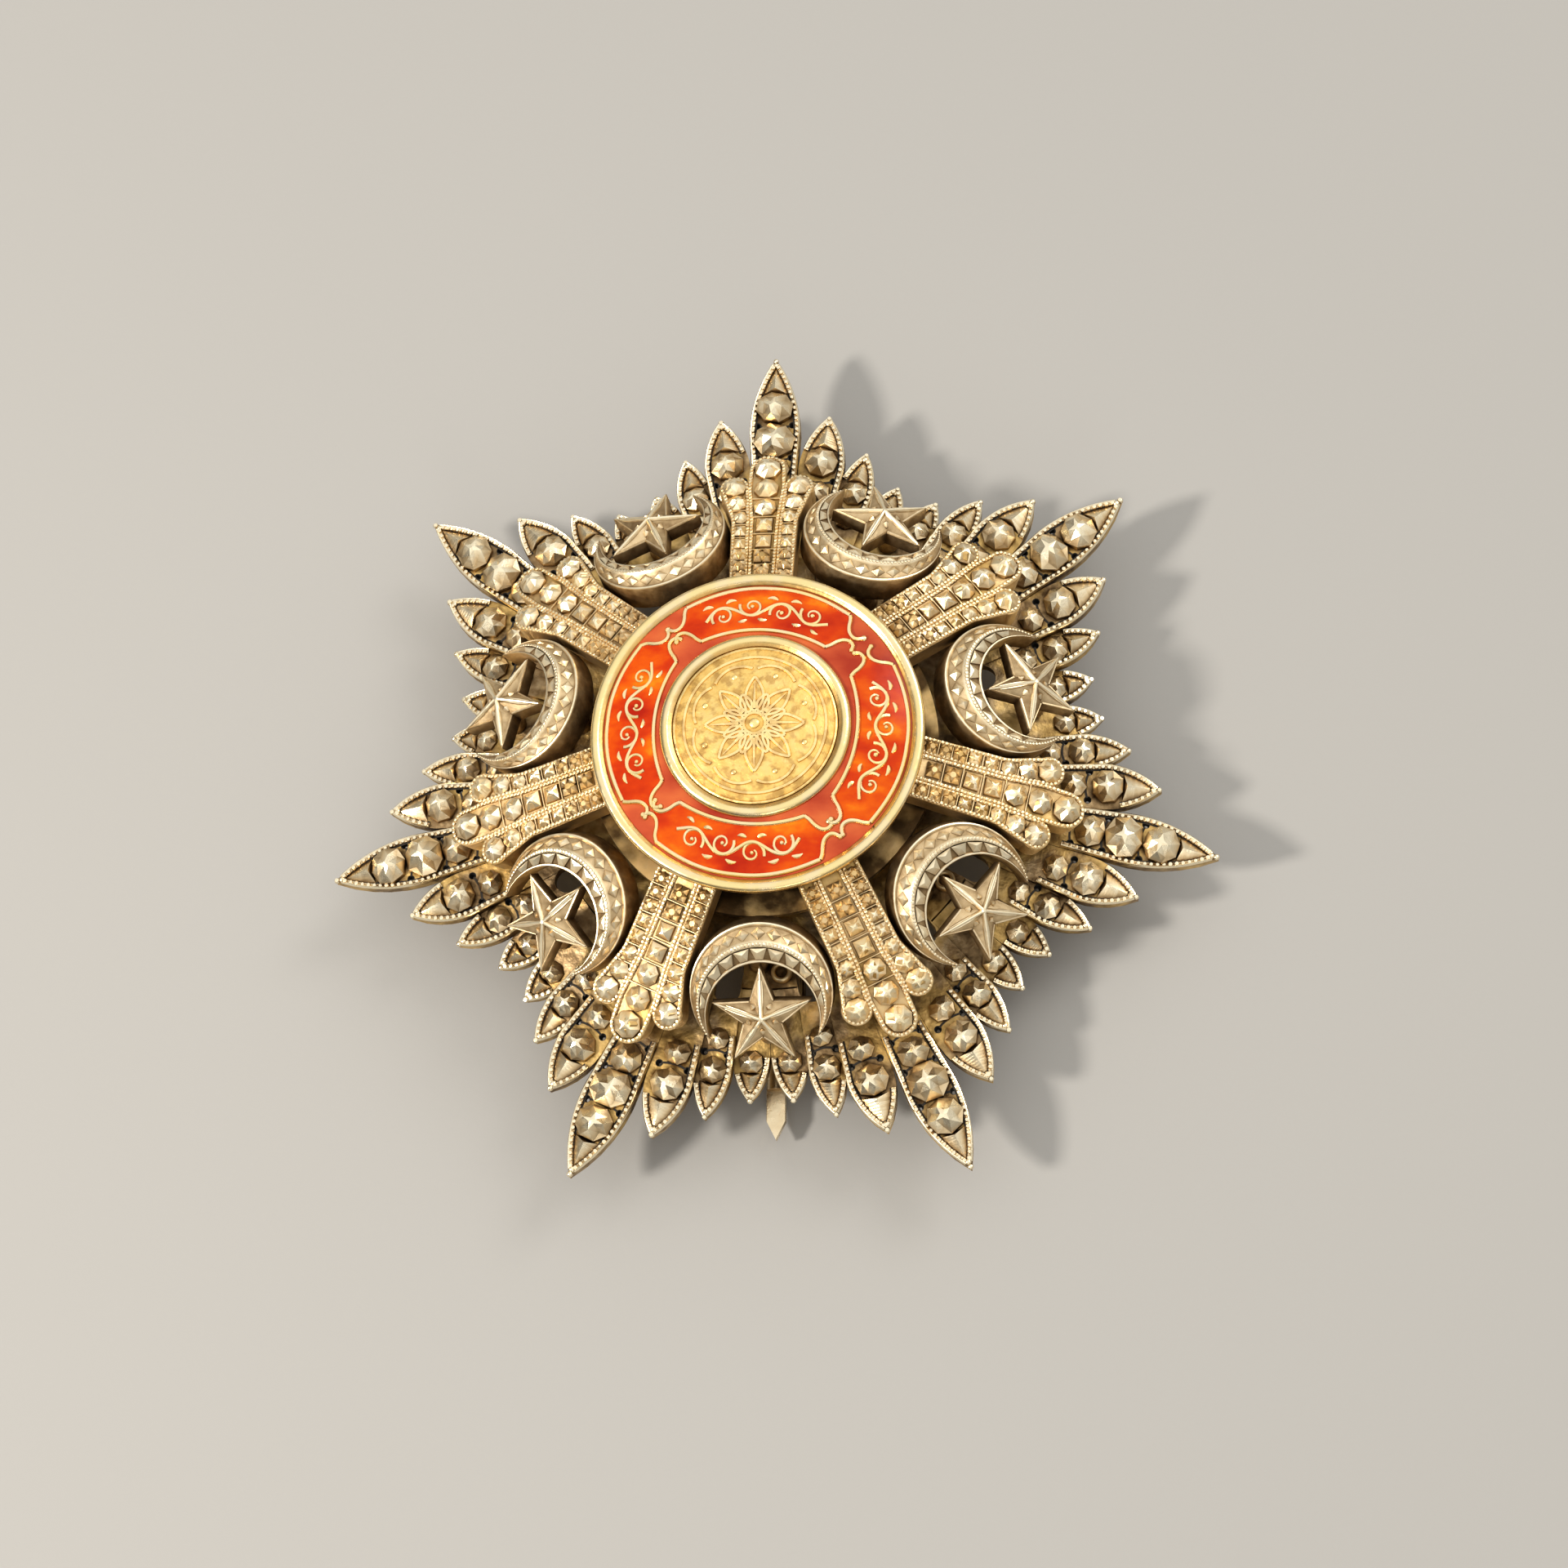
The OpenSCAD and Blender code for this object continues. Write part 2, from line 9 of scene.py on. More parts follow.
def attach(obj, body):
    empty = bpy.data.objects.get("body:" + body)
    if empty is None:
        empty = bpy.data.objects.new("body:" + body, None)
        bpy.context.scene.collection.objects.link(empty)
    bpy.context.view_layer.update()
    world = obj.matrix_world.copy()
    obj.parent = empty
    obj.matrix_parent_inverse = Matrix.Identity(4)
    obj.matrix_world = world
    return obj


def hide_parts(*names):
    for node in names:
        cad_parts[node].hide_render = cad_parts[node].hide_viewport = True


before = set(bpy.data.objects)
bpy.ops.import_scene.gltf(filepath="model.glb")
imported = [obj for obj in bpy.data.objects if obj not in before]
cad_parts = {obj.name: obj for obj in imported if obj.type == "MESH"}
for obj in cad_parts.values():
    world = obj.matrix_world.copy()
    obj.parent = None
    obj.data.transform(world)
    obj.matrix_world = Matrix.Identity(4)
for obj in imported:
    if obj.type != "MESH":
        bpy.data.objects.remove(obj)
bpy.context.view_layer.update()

rng = random.Random(11)

# Sizes in millimetres, with the same names and values as in the part's source
PITCH = 360 / 7
STAR_R = 45
PLATE_T = 1.15
RAY_W = 5.2
HUB_R = 22.5
CROWN = 1.3
VALLEY = 1.7
ARM_REACH = 31.8
ARM_END_Z = 5.3
ARM_SLOPE = 20
ARM_W = 9.1
ROW_W = 3.7
EMBLEM_R = 24.6
EMBLEM_Z = 7.46
EMBLEM_TILT = 30
CRESCENT_W = 4.05
CRESCENT_WALL = 2.5
POST_R = 1
POST_IN = 4.7
POST_SIDE = 0.95
RIVET_IN = 3.55
RIVET_SIDE = 1.25
STAR_OUT = 2.42
STAR_PEAK = 1.2
STAR_EDGE = 1.4
STAR_WAIST = 0.4
STAR_LIFT = 0.2
MEDAL_R = 16.24
RIM_W = 1.24
MEDAL_H = 1.66
DOME_R = 49
RING_R = 9.31
SEAT = 0.08
SIDE_GAP = 0.25

# Angle as a share of the pitch, tip radius as a share of the star's, half width and shoulder as shares of
# the ray's width, drop as a share of the valley, and how far in from the tip the beading runs on the side
# towards the main ray and on the other side
RAYS = [
    (0, 1, 0.5, 1.65, 0, 15.5, 15.5),
    (0.1625, 0.858, 0.45, 1.12, -0.16, 4.2, 10.0),
    (0.2965, 0.791, 0.355, 0.94, 0.37, 3.6, 8.6),
    (0.428, 0.74, 0.355, 0.85, 1, 3.0, 4.6),
]

# Ray, distance from the centre as a share of the star's radius, radius as a share of the ray's width
STUDS = [(0, 0.873, 0.32), (0, 0.79, 0.35), (0, 0.716, 0.27), (1, 0.74, 0.285), (1, 0.666, 0.22),
         (2, 0.682, 0.235), (2, 0.613, 0.19), (3, 0.65, 0.2)]

# Ray, distance from the centre and distance from the ray's axis, in the same shares
DRILLS = [(0, 0.831, 0.345), (0, 0.749, 0.325), (0, 0.678, 0.3), (1, 0.698, 0.28), (2, 0.645, 0.22)]

# How far the groove between two drilled holes bends
LINE_BOW = 0.3

# Rows of an arm: place along it as a share of its length, half width of the middle row, then the centre
# and the half width of a side row, all as shares of the arm's width
ROWS = [(0, 0.203, 0, 0), (0.155, 0.215, 0.355, 0.165), (0.43, 0.17, 0.262, 0.106), (1, 0.15, 0.242, 0.1)]


def sin(angle):
    return math.sin(math.radians(angle))


def cos(angle):
    return math.cos(math.radians(angle))


def tan(angle):
    return math.tan(math.radians(angle))


ARM_ROOT = MEDAL_R - 0.9
ARM_LEN = (ARM_REACH - ROW_W / 2 - ARM_ROOT) / cos(ARM_SLOPE)
MEDAL_Z = ARM_END_Z + (ARM_REACH - ARM_ROOT) * tan(ARM_SLOPE) + 2 * SEAT
RIM_Z = MEDAL_Z + MEDAL_H
DOME_Z = RIM_Z - 0.35 - math.sqrt(DOME_R ** 2 - (MEDAL_R - RIM_W) ** 2)


def lookup(x, table):
    """Value at x on straight lines between the pairs of a table."""
    if x <= table[0][0]:
        return table[0][1]
    for (a, p), (b, q) in zip(table, table[1:]):
        if x <= b:
            return p + (q - p) * (x - a) / (b - a)
    return table[-1][1]


def rotation(angle, axis="Z"):
    return Matrix.Rotation(math.radians(angle), 4, axis)


def shift(x, y, z):
    return Matrix.Translation((x, y, z))


class Shape:
    """Gathers vertices in millimetres, faces, and a shade from 0 in a recess to 1 on a worn edge, which
    paints tarnish with painted shade at the low end and wear with painted highlights at the high end.
    """

    def __init__(self):
        self.verts = []
        self.faces = []
        self.shade = []
        self.tone = []

    def add(self, points, faces, shade, place=Matrix(), uneven=0):
        """Adds faces; uneven is how far the tone of a face may stray from the others."""
        first = len(self.verts)
        self.verts += [place @ Vector(p) for p in points]
        self.shade += list(shade) if isinstance(shade, (list, tuple)) else [shade] * len(points)
        self.faces += [[first + j for j in f] for f in faces]
        self.tone += [1 + rng.uniform(-uneven, uneven) for f in faces]

    def piece(self, name, material, nodes=(), sharp=None):
        mesh = bpy.data.meshes.new(name)
        mesh.from_pydata([v * 0.001 for v in self.verts], [], self.faces)
        work = bmesh.new()
        work.from_mesh(mesh)
        bmesh.ops.recalc_face_normals(work, faces=work.faces)
        work.to_mesh(mesh)
        work.free()
        # The shade becomes a colour attribute that carries tarnish and wear together with painted shade and
        # painted highlights.
        tones = [self.shade[v] * t for face, t in zip(mesh.polygons, self.tone) for v in face.vertices]
        layer = mesh.color_attributes.new("shade", "FLOAT_COLOR", "CORNER")
        layer.data.foreach_set("color", [c for t in tones for c in (t, t, t, 1)])
        if sharp:
            mesh.shade_smooth()
            mesh.set_sharp_from_angle(angle=math.radians(sharp))
        mesh.materials.append(material)
        made = bpy.data.objects.new(name, mesh)
        bpy.context.collection.objects.link(made)
        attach(made, "root")
        if nodes:
            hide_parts(*nodes)
        return made


def sweep(shape, path, profile, shade, place=Matrix(), scale=None, closed=False):
    """Carries a closed profile of (across, up) along a path of (x, y, z)."""
    n = len(path)
    m = len(profile)
    points = []
    for i, p in enumerate(path):
        a = path[i - 1] if i or closed else p
        b = path[(i + 1) % n] if i < n - 1 or closed else p
        way = Vector((b[0] - a[0], b[1] - a[1], 0)).normalized()
        side = Vector((way.y, -way.x, 0))
        s = scale[i] if scale else 1
        points += [Vector(p) + side * across * s + Vector((0, 0, up * s)) for across, up in profile]
    faces = []
    for i in range(n if closed else n - 1):
        k = (i + 1) % n
        for j in range(m):
            faces.append((i * m + j, i * m + (j + 1) % m, k * m + (j + 1) % m, k * m + j))
    if not closed:
        faces += [tuple(range(m)), tuple(range((n - 1) * m, n * m))]
    shades = (list(shade) * n) if isinstance(shade, (list, tuple)) else shade
    shape.add(points, faces, shades, place)


def lathe(shape, profile, shade, place=Matrix(), steps=192):
    """Turns a closed profile of (radius, height) about Z."""
    m = len(profile)
    points = []
    for i in range(steps):
        a = 360 * i / steps
        points += [(r * sin(a), r * cos(a), z) for r, z in profile]
    faces = []
    for i in range(steps):
        k = (i + 1) % steps
        for j in range(m):
            faces.append((i * m + j, i * m + (j + 1) % m, k * m + (j + 1) % m, k * m + j))
    shades = (list(shade) * steps) if isinstance(shade, (list, tuple)) else shade
    shape.add(points, faces, shades, place)


def resample(path, step):
    """Points at even steps along a path, each with its direction."""
    path = [Vector(p) for p in path]
    total = sum((b - a).length for a, b in zip(path, path[1:]))
    count = max(1, round(total / step))
    out = []
    need = total / count / 2
    for a, b in zip(path, path[1:]):
        length = (b - a).length
        while need <= length and length > 0:
            out.append((a.lerp(b, need / length), (b - a).normalized()))
            need += total / count
        need -= length
    return out


BEAD_SIDES = 8
BEAD_RINGS = ((1, -0.25), (0.96, 0.45), (0.66, 0.92))


def beads(shape, path, step, radius, height, place=Matrix(), shade=0.95, taper=None):
    """A row of small worn beads, each a little uneven."""
    n = BEAD_SIDES
    spots = resample(path, step)
    for i, (spot, way) in enumerate(spots):
        size = rng.uniform(0.88, 1.06) * (taper(i / max(1, len(spots) - 1)) if taper else 1)
        turn = math.atan2(way.y, way.x) + rng.uniform(-0.2, 0.2)
        rise = height * size * rng.uniform(0.85, 1.1)
        points = []
        for share, up in BEAD_RINGS:
            for j in range(n):
                a = turn + math.tau * (j + 0.5) / n
                points.append((spot.x + radius * size * share * math.cos(a),
                               spot.y + radius * size * share * math.sin(a), spot.z + up * rise))
        points.append((spot.x, spot.y, spot.z + rise))
        faces = [tuple(range(n))]
        for k in (0, n):
            faces += [(k + j, k + (j + 1) % n, k + n + (j + 1) % n, k + n + j) for j in range(n)]
        faces += [(2 * n + j, 2 * n + (j + 1) % n, 3 * n) for j in range(n)]
        # Each bead is painted with shade at its foot and a highlight on top, along with wear.
        tone = shade * rng.uniform(0.82, 1.05)
        shape.add(points, faces, [tone * 0.3] * n + [tone * 0.75] * n + [tone] * (n + 1), place)


def bead(shape, spot, radius, height, place=Matrix(), shade=0.95, way=(0.01, 0, 0)):
    """One bead by itself."""
    spot = Vector(spot)
    beads(shape, [spot, spot + Vector(way)], 1, radius, height, place, shade)


def cut_stud(shape, place, r, square=False, tone=1.0, long=1.0, wide=1.0):
    """A hand-cut stud: steep sides, sloping facets, and a small four-pointed table that catches the light."""
    place = place @ rotation(rng.uniform(-3, 3) if square else rng.uniform(-20, 20))
    sides = 4 if square else 8
    first = 180 / sides
    girdle = ((1.36, -0.08), (1.2, 0.34)) if square else ((1.14, -0.08), (1.09, 0.3))
    points = []
    for share, up in girdle:
        for j in range(sides):
            a = 360 / sides * j + first + (rng.uniform(-3, 3) if up > 0 else 0)
            out = r * share * (rng.uniform(0.95, 1.03) if up > 0 else 1)
            points.append((out * wide * cos(a), out * long * sin(a), r * up * rng.uniform(0.88, 1.12)))
    middle = len(points)
    lift = rng.uniform(0.95, 1.04)
    off = [rng.uniform(-0.08, 0.08) * r for _ in (0, 1)]
    rings = ((0.58, 0.8, 0), (0.2, 0.9, 45))
    if not square:
        rings = ((0.56, 0.82, 0), (0.2, 0.9, 45), (0.79, 0.46, 45))
    for share, up, turn in rings:
        for j in range(4):
            a = 90 * j + turn + (45 if square else 0) + rng.uniform(-5, 5)
            out = r * share * rng.uniform(0.86, 1.1)
            points.append((out * wide * cos(a) + off[0], out * long * sin(a) + off[1],
                           r * up * lift * rng.uniform(0.97, 1.03)))
    apex = len(points)
    points.append((off[0], off[1], 0.93 * r * lift))
    faces = [tuple(range(sides))]
    faces += [(j, (j + 1) % sides, sides + (j + 1) % sides, sides + j) for j in range(sides)]
    for j in range(4):
        k = (j + 1) % 4
        tip, notch, next_tip = middle + j, middle + 4 + j, middle + k
        faces += [(apex, tip, notch), (apex, notch, next_tip)]
        if square:
            low, high = 4 + j, 4 + k
            faces += [(low, high, notch), (low, notch, tip), (high, next_tip, notch)]
        else:
            corner = middle + 8 + j
            low, high, far_low = 8 + 2 * j, 8 + (2 * j + 1) % 8, 8 + (2 * j + 7) % 8
            faces += [(notch, tip, corner), (notch, corner, next_tip), (tip, far_low, low)]
            faces += [(tip, low, corner), (low, high, corner), (corner, high, next_tip)]
    # Tones: painted shade at the stud's foot, and wear with painted highlights on its ridges and point.
    tones = [0.2] * sides + [0.55 * tone] * sides + [1.1 * tone] * 8
    tones += ([] if square else [0.5 * tone] * 4) + [1.3 * tone]
    shape.add(points, faces, tones, place, 0.3)


def quartered(shape, place, r, long):
    """A small block cut crosswise into four points."""
    for u in (-1, 1):
        for v in (-1, 1):
            a = r * 0.49
            b = a * long
            x = u * a * 1.06 + rng.uniform(-0.04, 0.04)
            y = v * b * 1.06 + rng.uniform(-0.04, 0.04)
            low = r * rng.uniform(0.3, 0.5)
            points = [(x - a, y - b, -0.1), (x + a, y - b, -0.1), (x + a, y + b, -0.1), (x - a, y + b, -0.1)]
            points += [(p[0] + rng.uniform(-0.03, 0.03), p[1], low) for p in points]
            points.append((x + rng.uniform(-0.1, 0.1), y + rng.uniform(-0.1, 0.1),
                           r * rng.uniform(0.85, 1.1) + 0.1))
            faces = [(0, 1, 2, 3)]
            for j in range(4):
                k = (j + 1) % 4
                faces += [(j, k, 4 + k, 4 + j), (4 + j, 4 + k, 8)]
            # Painted shade at the base of each point and a painted highlight with wear on its peak.
            shape.add(points, faces, [0.2] * 4 + [0.5] * 4 + [rng.uniform(0.75, 1.25)], place, 0.25)


# Materials

def ramp(nodes, stops):
    """A colour ramp; each stop is a place and a colour."""
    node = nodes.new("ShaderNodeValToRGB")
    while len(node.color_ramp.elements) < len(stops):
        node.color_ramp.elements.new(0.5)
    for element, (at, colour) in zip(node.color_ramp.elements, stops):
        element.position = at
        element.color = (*colour, 1)
    return node


def mathnode(tree, kind, a, b):
    """Output of a step of arithmetic on two values, each a number or another output."""
    node = tree.nodes.new("ShaderNodeMath")
    node.operation = kind
    for socket, value in zip(node.inputs, (a, b)):
        if isinstance(value, (int, float)):
            socket.default_value = value
        else:
            tree.links.new(value, socket)
    return node.outputs[0]


def noise(tree, scale, detail=4, stretch=None):
    """Output of a noise in the object's own space."""
    coords = tree.nodes.new("ShaderNodeTexCoord")
    source = coords.outputs["Object"]
    if stretch:
        mapping = tree.nodes.new("ShaderNodeMapping")
        mapping.inputs["Scale"].default_value = stretch
        tree.links.new(source, mapping.inputs["Vector"])
        source = mapping.outputs[0]
    node = tree.nodes.new("ShaderNodeTexNoise")
    node.inputs["Scale"].default_value = scale
    node.inputs["Detail"].default_value = detail
    tree.links.new(source, node.inputs["Vector"])
    return node.outputs["Fac"]


def start(name):
    material = bpy.data.materials.new(name)
    material.use_nodes = True
    return material, material.node_tree, material.node_tree.nodes["Principled BSDF"]


def bump(tree, shader, height, strength, distance):
    node = tree.nodes.new("ShaderNodeBump")
    node.inputs["Strength"].default_value = strength
    node.inputs["Distance"].default_value = distance
    tree.links.new(height, node.inputs["Height"])
    tree.links.new(node.outputs[0], shader.inputs["Normal"])
    return node


def metal(name, stops, rough=0.36, level=None, patch=None, patch_scale=260, mottle=0.35, grit=0.12,
          reach=0.0006, dent=0.12, painted_shade_power=1.3, cover=0.46):
    """Aged metal: its tone runs from dark tarnish to bright wear and painted highlights, is darkened by
    ambient occlusion as painted shade in recesses, under things and between parts, and is blotched by two
    sizes of noise.
    """
    material, tree, shader = start(name)
    shader.inputs["Metallic"].default_value = 1
    # Ambient occlusion within reach darkens the colour: painted shade in recesses, under things and between
    # parts.
    occlusion = tree.nodes.new("ShaderNodeAmbientOcclusion")
    occlusion.inputs["Distance"].default_value = reach
    occlusion.samples = 8
    if level is None:
        shade = tree.nodes.new("ShaderNodeAttribute")
        shade.attribute_name = "shade"
        tone = shade.outputs["Fac"]
    else:
        tone = mathnode(tree, "MULTIPLY", noise(tree, 140, 2), 2 * level)
    blotch = mathnode(tree, "MULTIPLY_ADD", noise(tree, 900, 5), mottle)
    blotch.node.inputs[2].default_value = -mottle / 2
    painted_shade = mathnode(tree, "POWER", occlusion.outputs["AO"], painted_shade_power)
    tone = mathnode(tree, "MULTIPLY", tone, painted_shade)
    tone = mathnode(tree, "ADD", tone, blotch)
    colour = ramp(tree.nodes, stops)
    tree.links.new(tone, colour.inputs[0])
    result = colour.outputs[0]
    if patch:
        other = ramp(tree.nodes, patch)
        tree.links.new(tone, other.inputs[0])
        where = ramp(tree.nodes, [(cover, (0, 0, 0)), (cover + 0.12, (1, 1, 1))])
        tree.links.new(noise(tree, patch_scale, 3), where.inputs[0])
        mix = tree.nodes.new("ShaderNodeMix")
        mix.data_type = "RGBA"
        tree.links.new(where.outputs[0], mix.inputs["Factor"])
        tree.links.new(result, mix.inputs["A"])
        tree.links.new(other.outputs[0], mix.inputs["B"])
        result = mix.outputs["Result"]
    tree.links.new(result, shader.inputs["Base Color"])
    dull = mathnode(tree, "MULTIPLY_ADD", noise(tree, 1500, 3), 0.22)
    dull.node.inputs[2].default_value = rough - 0.11
    worn = mathnode(tree, "MULTIPLY_ADD", tone, -0.12)
    worn.node.inputs[2].default_value = 0.08
    tree.links.new(mathnode(tree, "ADD", dull, worn), shader.inputs["Roughness"])
    first = bump(tree, shader, noise(tree, 5200, 4), grit, 0.0001)
    second = bump(tree, shader, noise(tree, 1100, 3), dent, 0.0002)
    tree.links.new(second.outputs[0], first.inputs["Normal"])
    tree.links.new(first.outputs[0], shader.inputs["Normal"])
    return material


SILVER_STOPS = [(0.0, (0.045, 0.023, 0.009)), (0.28, (0.33, 0.22, 0.108)), (0.55, (0.75, 0.575, 0.335)),
                (0.95, (1.0, 0.89, 0.645))]
GILT_STOPS = [(0.0, (0.1, 0.05, 0.014)), (0.28, (0.47, 0.3, 0.1)), (0.55, (0.87, 0.62, 0.28)),
              (0.95, (1.0, 0.81, 0.47))]
PALE_STOPS = [(0.0, (0.24, 0.15, 0.065)), (0.28, (0.66, 0.47, 0.235)), (0.55, (0.89, 0.67, 0.365)),
              (0.95, (1.0, 0.86, 0.56))]
TARNISH_AND_SHADE_STOPS = [(0.0, (0.015, 0.01, 0.006)), (0.45, (0.1, 0.06, 0.025)), (0.75, (0.5, 0.33, 0.13)),
              (1.0, (0.9, 0.68, 0.34))]
STAIN_STOPS = [(0.0, (0.28, 0.14, 0.03)), (0.6, (0.66, 0.4, 0.12)), (1.0, (0.9, 0.64, 0.28))]
WASH_STOPS = [(0.0, (0.1, 0.05, 0.014)), (0.28, (0.6, 0.4, 0.14)), (0.55, (0.92, 0.67, 0.3)),
              (0.95, (1.0, 0.81, 0.47))]
DIRT_AND_SHADE_STOPS = [(0.0, (0.004, 0.003, 0.002)), (1.0, (0.05, 0.035, 0.02))]

# Colour from the shade: tarnish and painted shade low down, wear and painted highlights on top.
silver = metal("silver_wear_and_sheen", SILVER_STOPS, rough=0.31, mottle=0.4)
silver_soft = metal("silver_soft", SILVER_STOPS, rough=0.42, mottle=0.55, dent=0.25)
# The plate's wide occlusion reach paints shade under the arms, crescents and stars and between the studs.
plate = metal("silver_plate", SILVER_STOPS, rough=0.45, level=0.3, patch=WASH_STOPS, patch_scale=230,
              mottle=0.75, reach=0.0028, dent=0.8, painted_shade_power=1.4, cover=0.43)
pin_metal = metal("silver_pin", SILVER_STOPS, rough=0.3, level=0.62, mottle=0.3)
gilt_body = metal("gilt_worn", PALE_STOPS, rough=0.4, level=0.4, patch=GILT_STOPS, patch_scale=170,
                  dent=0.3, painted_shade_power=1.0)
# The collar's near-black colour is tarnish together with painted shade under the medallion and between the
# arms.
collar_metal = metal("gilt_tarnish_and_shade", TARNISH_AND_SHADE_STOPS, rough=0.4, level=0.42, mottle=0.6, patch=GILT_STOPS,
                     patch_scale=130, cover=0.54)
gilt = metal("gilt_cut", PALE_STOPS, rough=0.42, patch=GILT_STOPS, patch_scale=170, reach=0.0004, painted_shade_power=0.8,
             cover=0.5)
rubbed = metal("gilt_rubbed", PALE_STOPS, rough=0.37, patch=SILVER_STOPS, patch_scale=240, reach=0.0005,
               cover=0.42)
# Near-black for the grooves and hole linings: dirt in the grooves, and painted shade in both.
dirt_and_painted_shade = metal("dirt_and_painted_shade", DIRT_AND_SHADE_STOPS, rough=0.7, level=0.3)
dirt_and_painted_shade.node_tree.nodes["Principled BSDF"].inputs["Metallic"].default_value = 0
gold = metal("gold_rim", [(0.0, (0.3, 0.15, 0.03)), (0.4, (0.8, 0.5, 0.17)), (0.75, (0.97, 0.68, 0.26)),
                          (1.0, (1.0, 0.8, 0.38))], rough=0.27, mottle=0.26, grit=0.05, dent=0.15,
             patch=GILT_STOPS, patch_scale=330)
gold_dull = metal("gold_mottled", [(0.0, (0.34, 0.18, 0.03)), (0.35, (0.78, 0.46, 0.11)),
                                   (0.6, (0.97, 0.66, 0.21)), (1.0, (1.0, 0.83, 0.4))], rough=0.4, mottle=0.6,
                  grit=0.2, dent=0.4, patch=STAIN_STOPS, patch_scale=950, cover=0.49)


def enamel(name, stops, scale, rough):
    material, tree, shader = start(name)
    colour = ramp(tree.nodes, stops)
    tree.links.new(noise(tree, scale, 4, (1, 1.6, 1)), colour.inputs[0])
    tree.links.new(colour.outputs[0], shader.inputs["Base Color"])
    shader.inputs["Roughness"].default_value = rough
    shader.inputs["IOR"].default_value = 1.52
    shader.inputs["Specular IOR Level"].default_value = 0.12
    bump(tree, shader, noise(tree, 420, 3), 0.25, 0.0001)
    return material


field_enamel = enamel("enamel_rose", [(0.3, (0.34, 0.03, 0.012)), (0.5, (0.5, 0.078, 0.026)),
                                      (0.7, (0.64, 0.15, 0.04))], 150, 0.18)
panel_enamel = enamel("enamel_orange", [(0.28, (0.36, 0.01, 0.001)), (0.45, (0.54, 0.035, 0.001)),
                                        (0.6, (0.68, 0.095, 0.001)), (0.74, (0.82, 0.27, 0.006))], 210, 0.16)


# Rayed plate: its plain solid shows between the cut work laid over it

def ray(k):
    """Sizes of ray k in millimetres and degrees."""
    share, tip, half, shoulder, drop, near, far = RAYS[k]
    return {"angle": share * PITCH, "tip": tip * STAR_R, "half": half * RAY_W, "shoulder": shoulder * RAY_W,
            "drop": CROWN + drop * VALLEY, "runs": (near, far)}


def root_step(k):
    """Step down from the front of the hub to the root of a ray."""
    return 0.12 + 0.04 * k


def ray_slope(k):
    """Tangent of a ray's slope."""
    r = ray(k)
    return (r["drop"] - root_step(k)) / (r["tip"] - HUB_R)


def at_tip(k, side, group):
    """Placement at a ray's tip, with Y along the ray and Z out of its sloping front."""
    r = ray(k)
    slope = math.degrees(math.atan(ray_slope(k)))
    return (rotation(-(group * PITCH + side * r["angle"])) @ shift(0, r["tip"], PLATE_T - r["drop"])
            @ rotation(-slope, "X"))


def half_width(k, d):
    """Half the width of a ray at a distance from its tip."""
    r = ray(k)
    arc = (r["shoulder"] ** 2 + r["half"] ** 2) / (2 * r["half"])
    if d <= r["shoulder"]:
        return math.sqrt(arc ** 2 - (r["shoulder"] - d) ** 2) - arc + r["half"]
    if k == 0:
        gap = ray(1)["angle"] / 2
    elif k == 3:
        gap = (PITCH / 2 - (ray(3)["angle"] + ray(2)["angle"]) / 2) / 2
    else:
        gap = (ray(k + 1)["angle"] - ray(k - 1)["angle"]) / 4
    root = r["tip"] - HUB_R
    return r["half"] + (HUB_R * tan(gap) - r["half"]) * (d - r["shoulder"]) / (root - r["shoulder"])


EDGE_START = 0.02
EDGE_STEP = 0.3


def ray_edge(k, hand, length, inset):
    """Points along one edge of a ray from its tip, moved inwards."""
    path = []
    d = EDGE_START
    while d < length:
        w = half_width(k, d)
        lean = (half_width(k, d + 0.01) - half_width(k, d - 0.01)) / 0.02
        size = math.hypot(1, lean)
        x = w - inset / size
        if x > 0.03:
            path.append((hand * x, -d - inset * lean / size, 0))
        d += EDGE_STEP
    return path


# Section of a ray's border, with the smooth outer lip at the positive end, and its shades, which paint shade
# at its foot and wear with painted highlights along the lip
RAIL = [(-0.27, -0.12), (-0.25, 0.17), (-0.02, 0.22), (0.03, 0.29), (0.15, 0.34), (0.25, 0.22),
        (0.255, -0.12)]
RAIL_SHADE = [0.15, 0.6, 0.75, 1.05, 1.15, 1.05, 0.25]

# Sections of the dark groove inside the border, of the one between two drilled holes, and of a hole's lining;
# the hole linings are painted shade, the grooves dirt and painted shade
GROOVE = [(-0.09, -0.05), (-0.07, 0.03), (0.07, 0.03), (0.09, -0.05)]
HOLE_LINE = [(-0.12, -0.05), (-0.1, 0.02), (0.1, 0.02), (0.12, -0.05)]
HOLE = [(0.17, -0.95), (0.372, -0.95), (0.372, -0.03), (0.33, -0.05)]

# How far the border, the beads and the groove lie from a ray's edge, and the sizes of its beads
BORDER_IN = 0.26
BEADS_IN = 0.33
GROOVE_IN = 0.62
BEAD_STEP = 0.61
BEAD_R = 0.28
BEAD_RISE = 0.31

# The two beads at a ray's tip: place along the ray, radius and shade
TIP_BEADS = ((-0.26, 0.31, 1.3), (-0.76, 0.36, 1.2))

# Facet at a ray's tip: where it starts, how far it stays from the edge, its rise and its steps
FACET_START = 1.2
FACET_IN = 0.6
FACET_RISE = 0.66
FACET_STEPS = 9

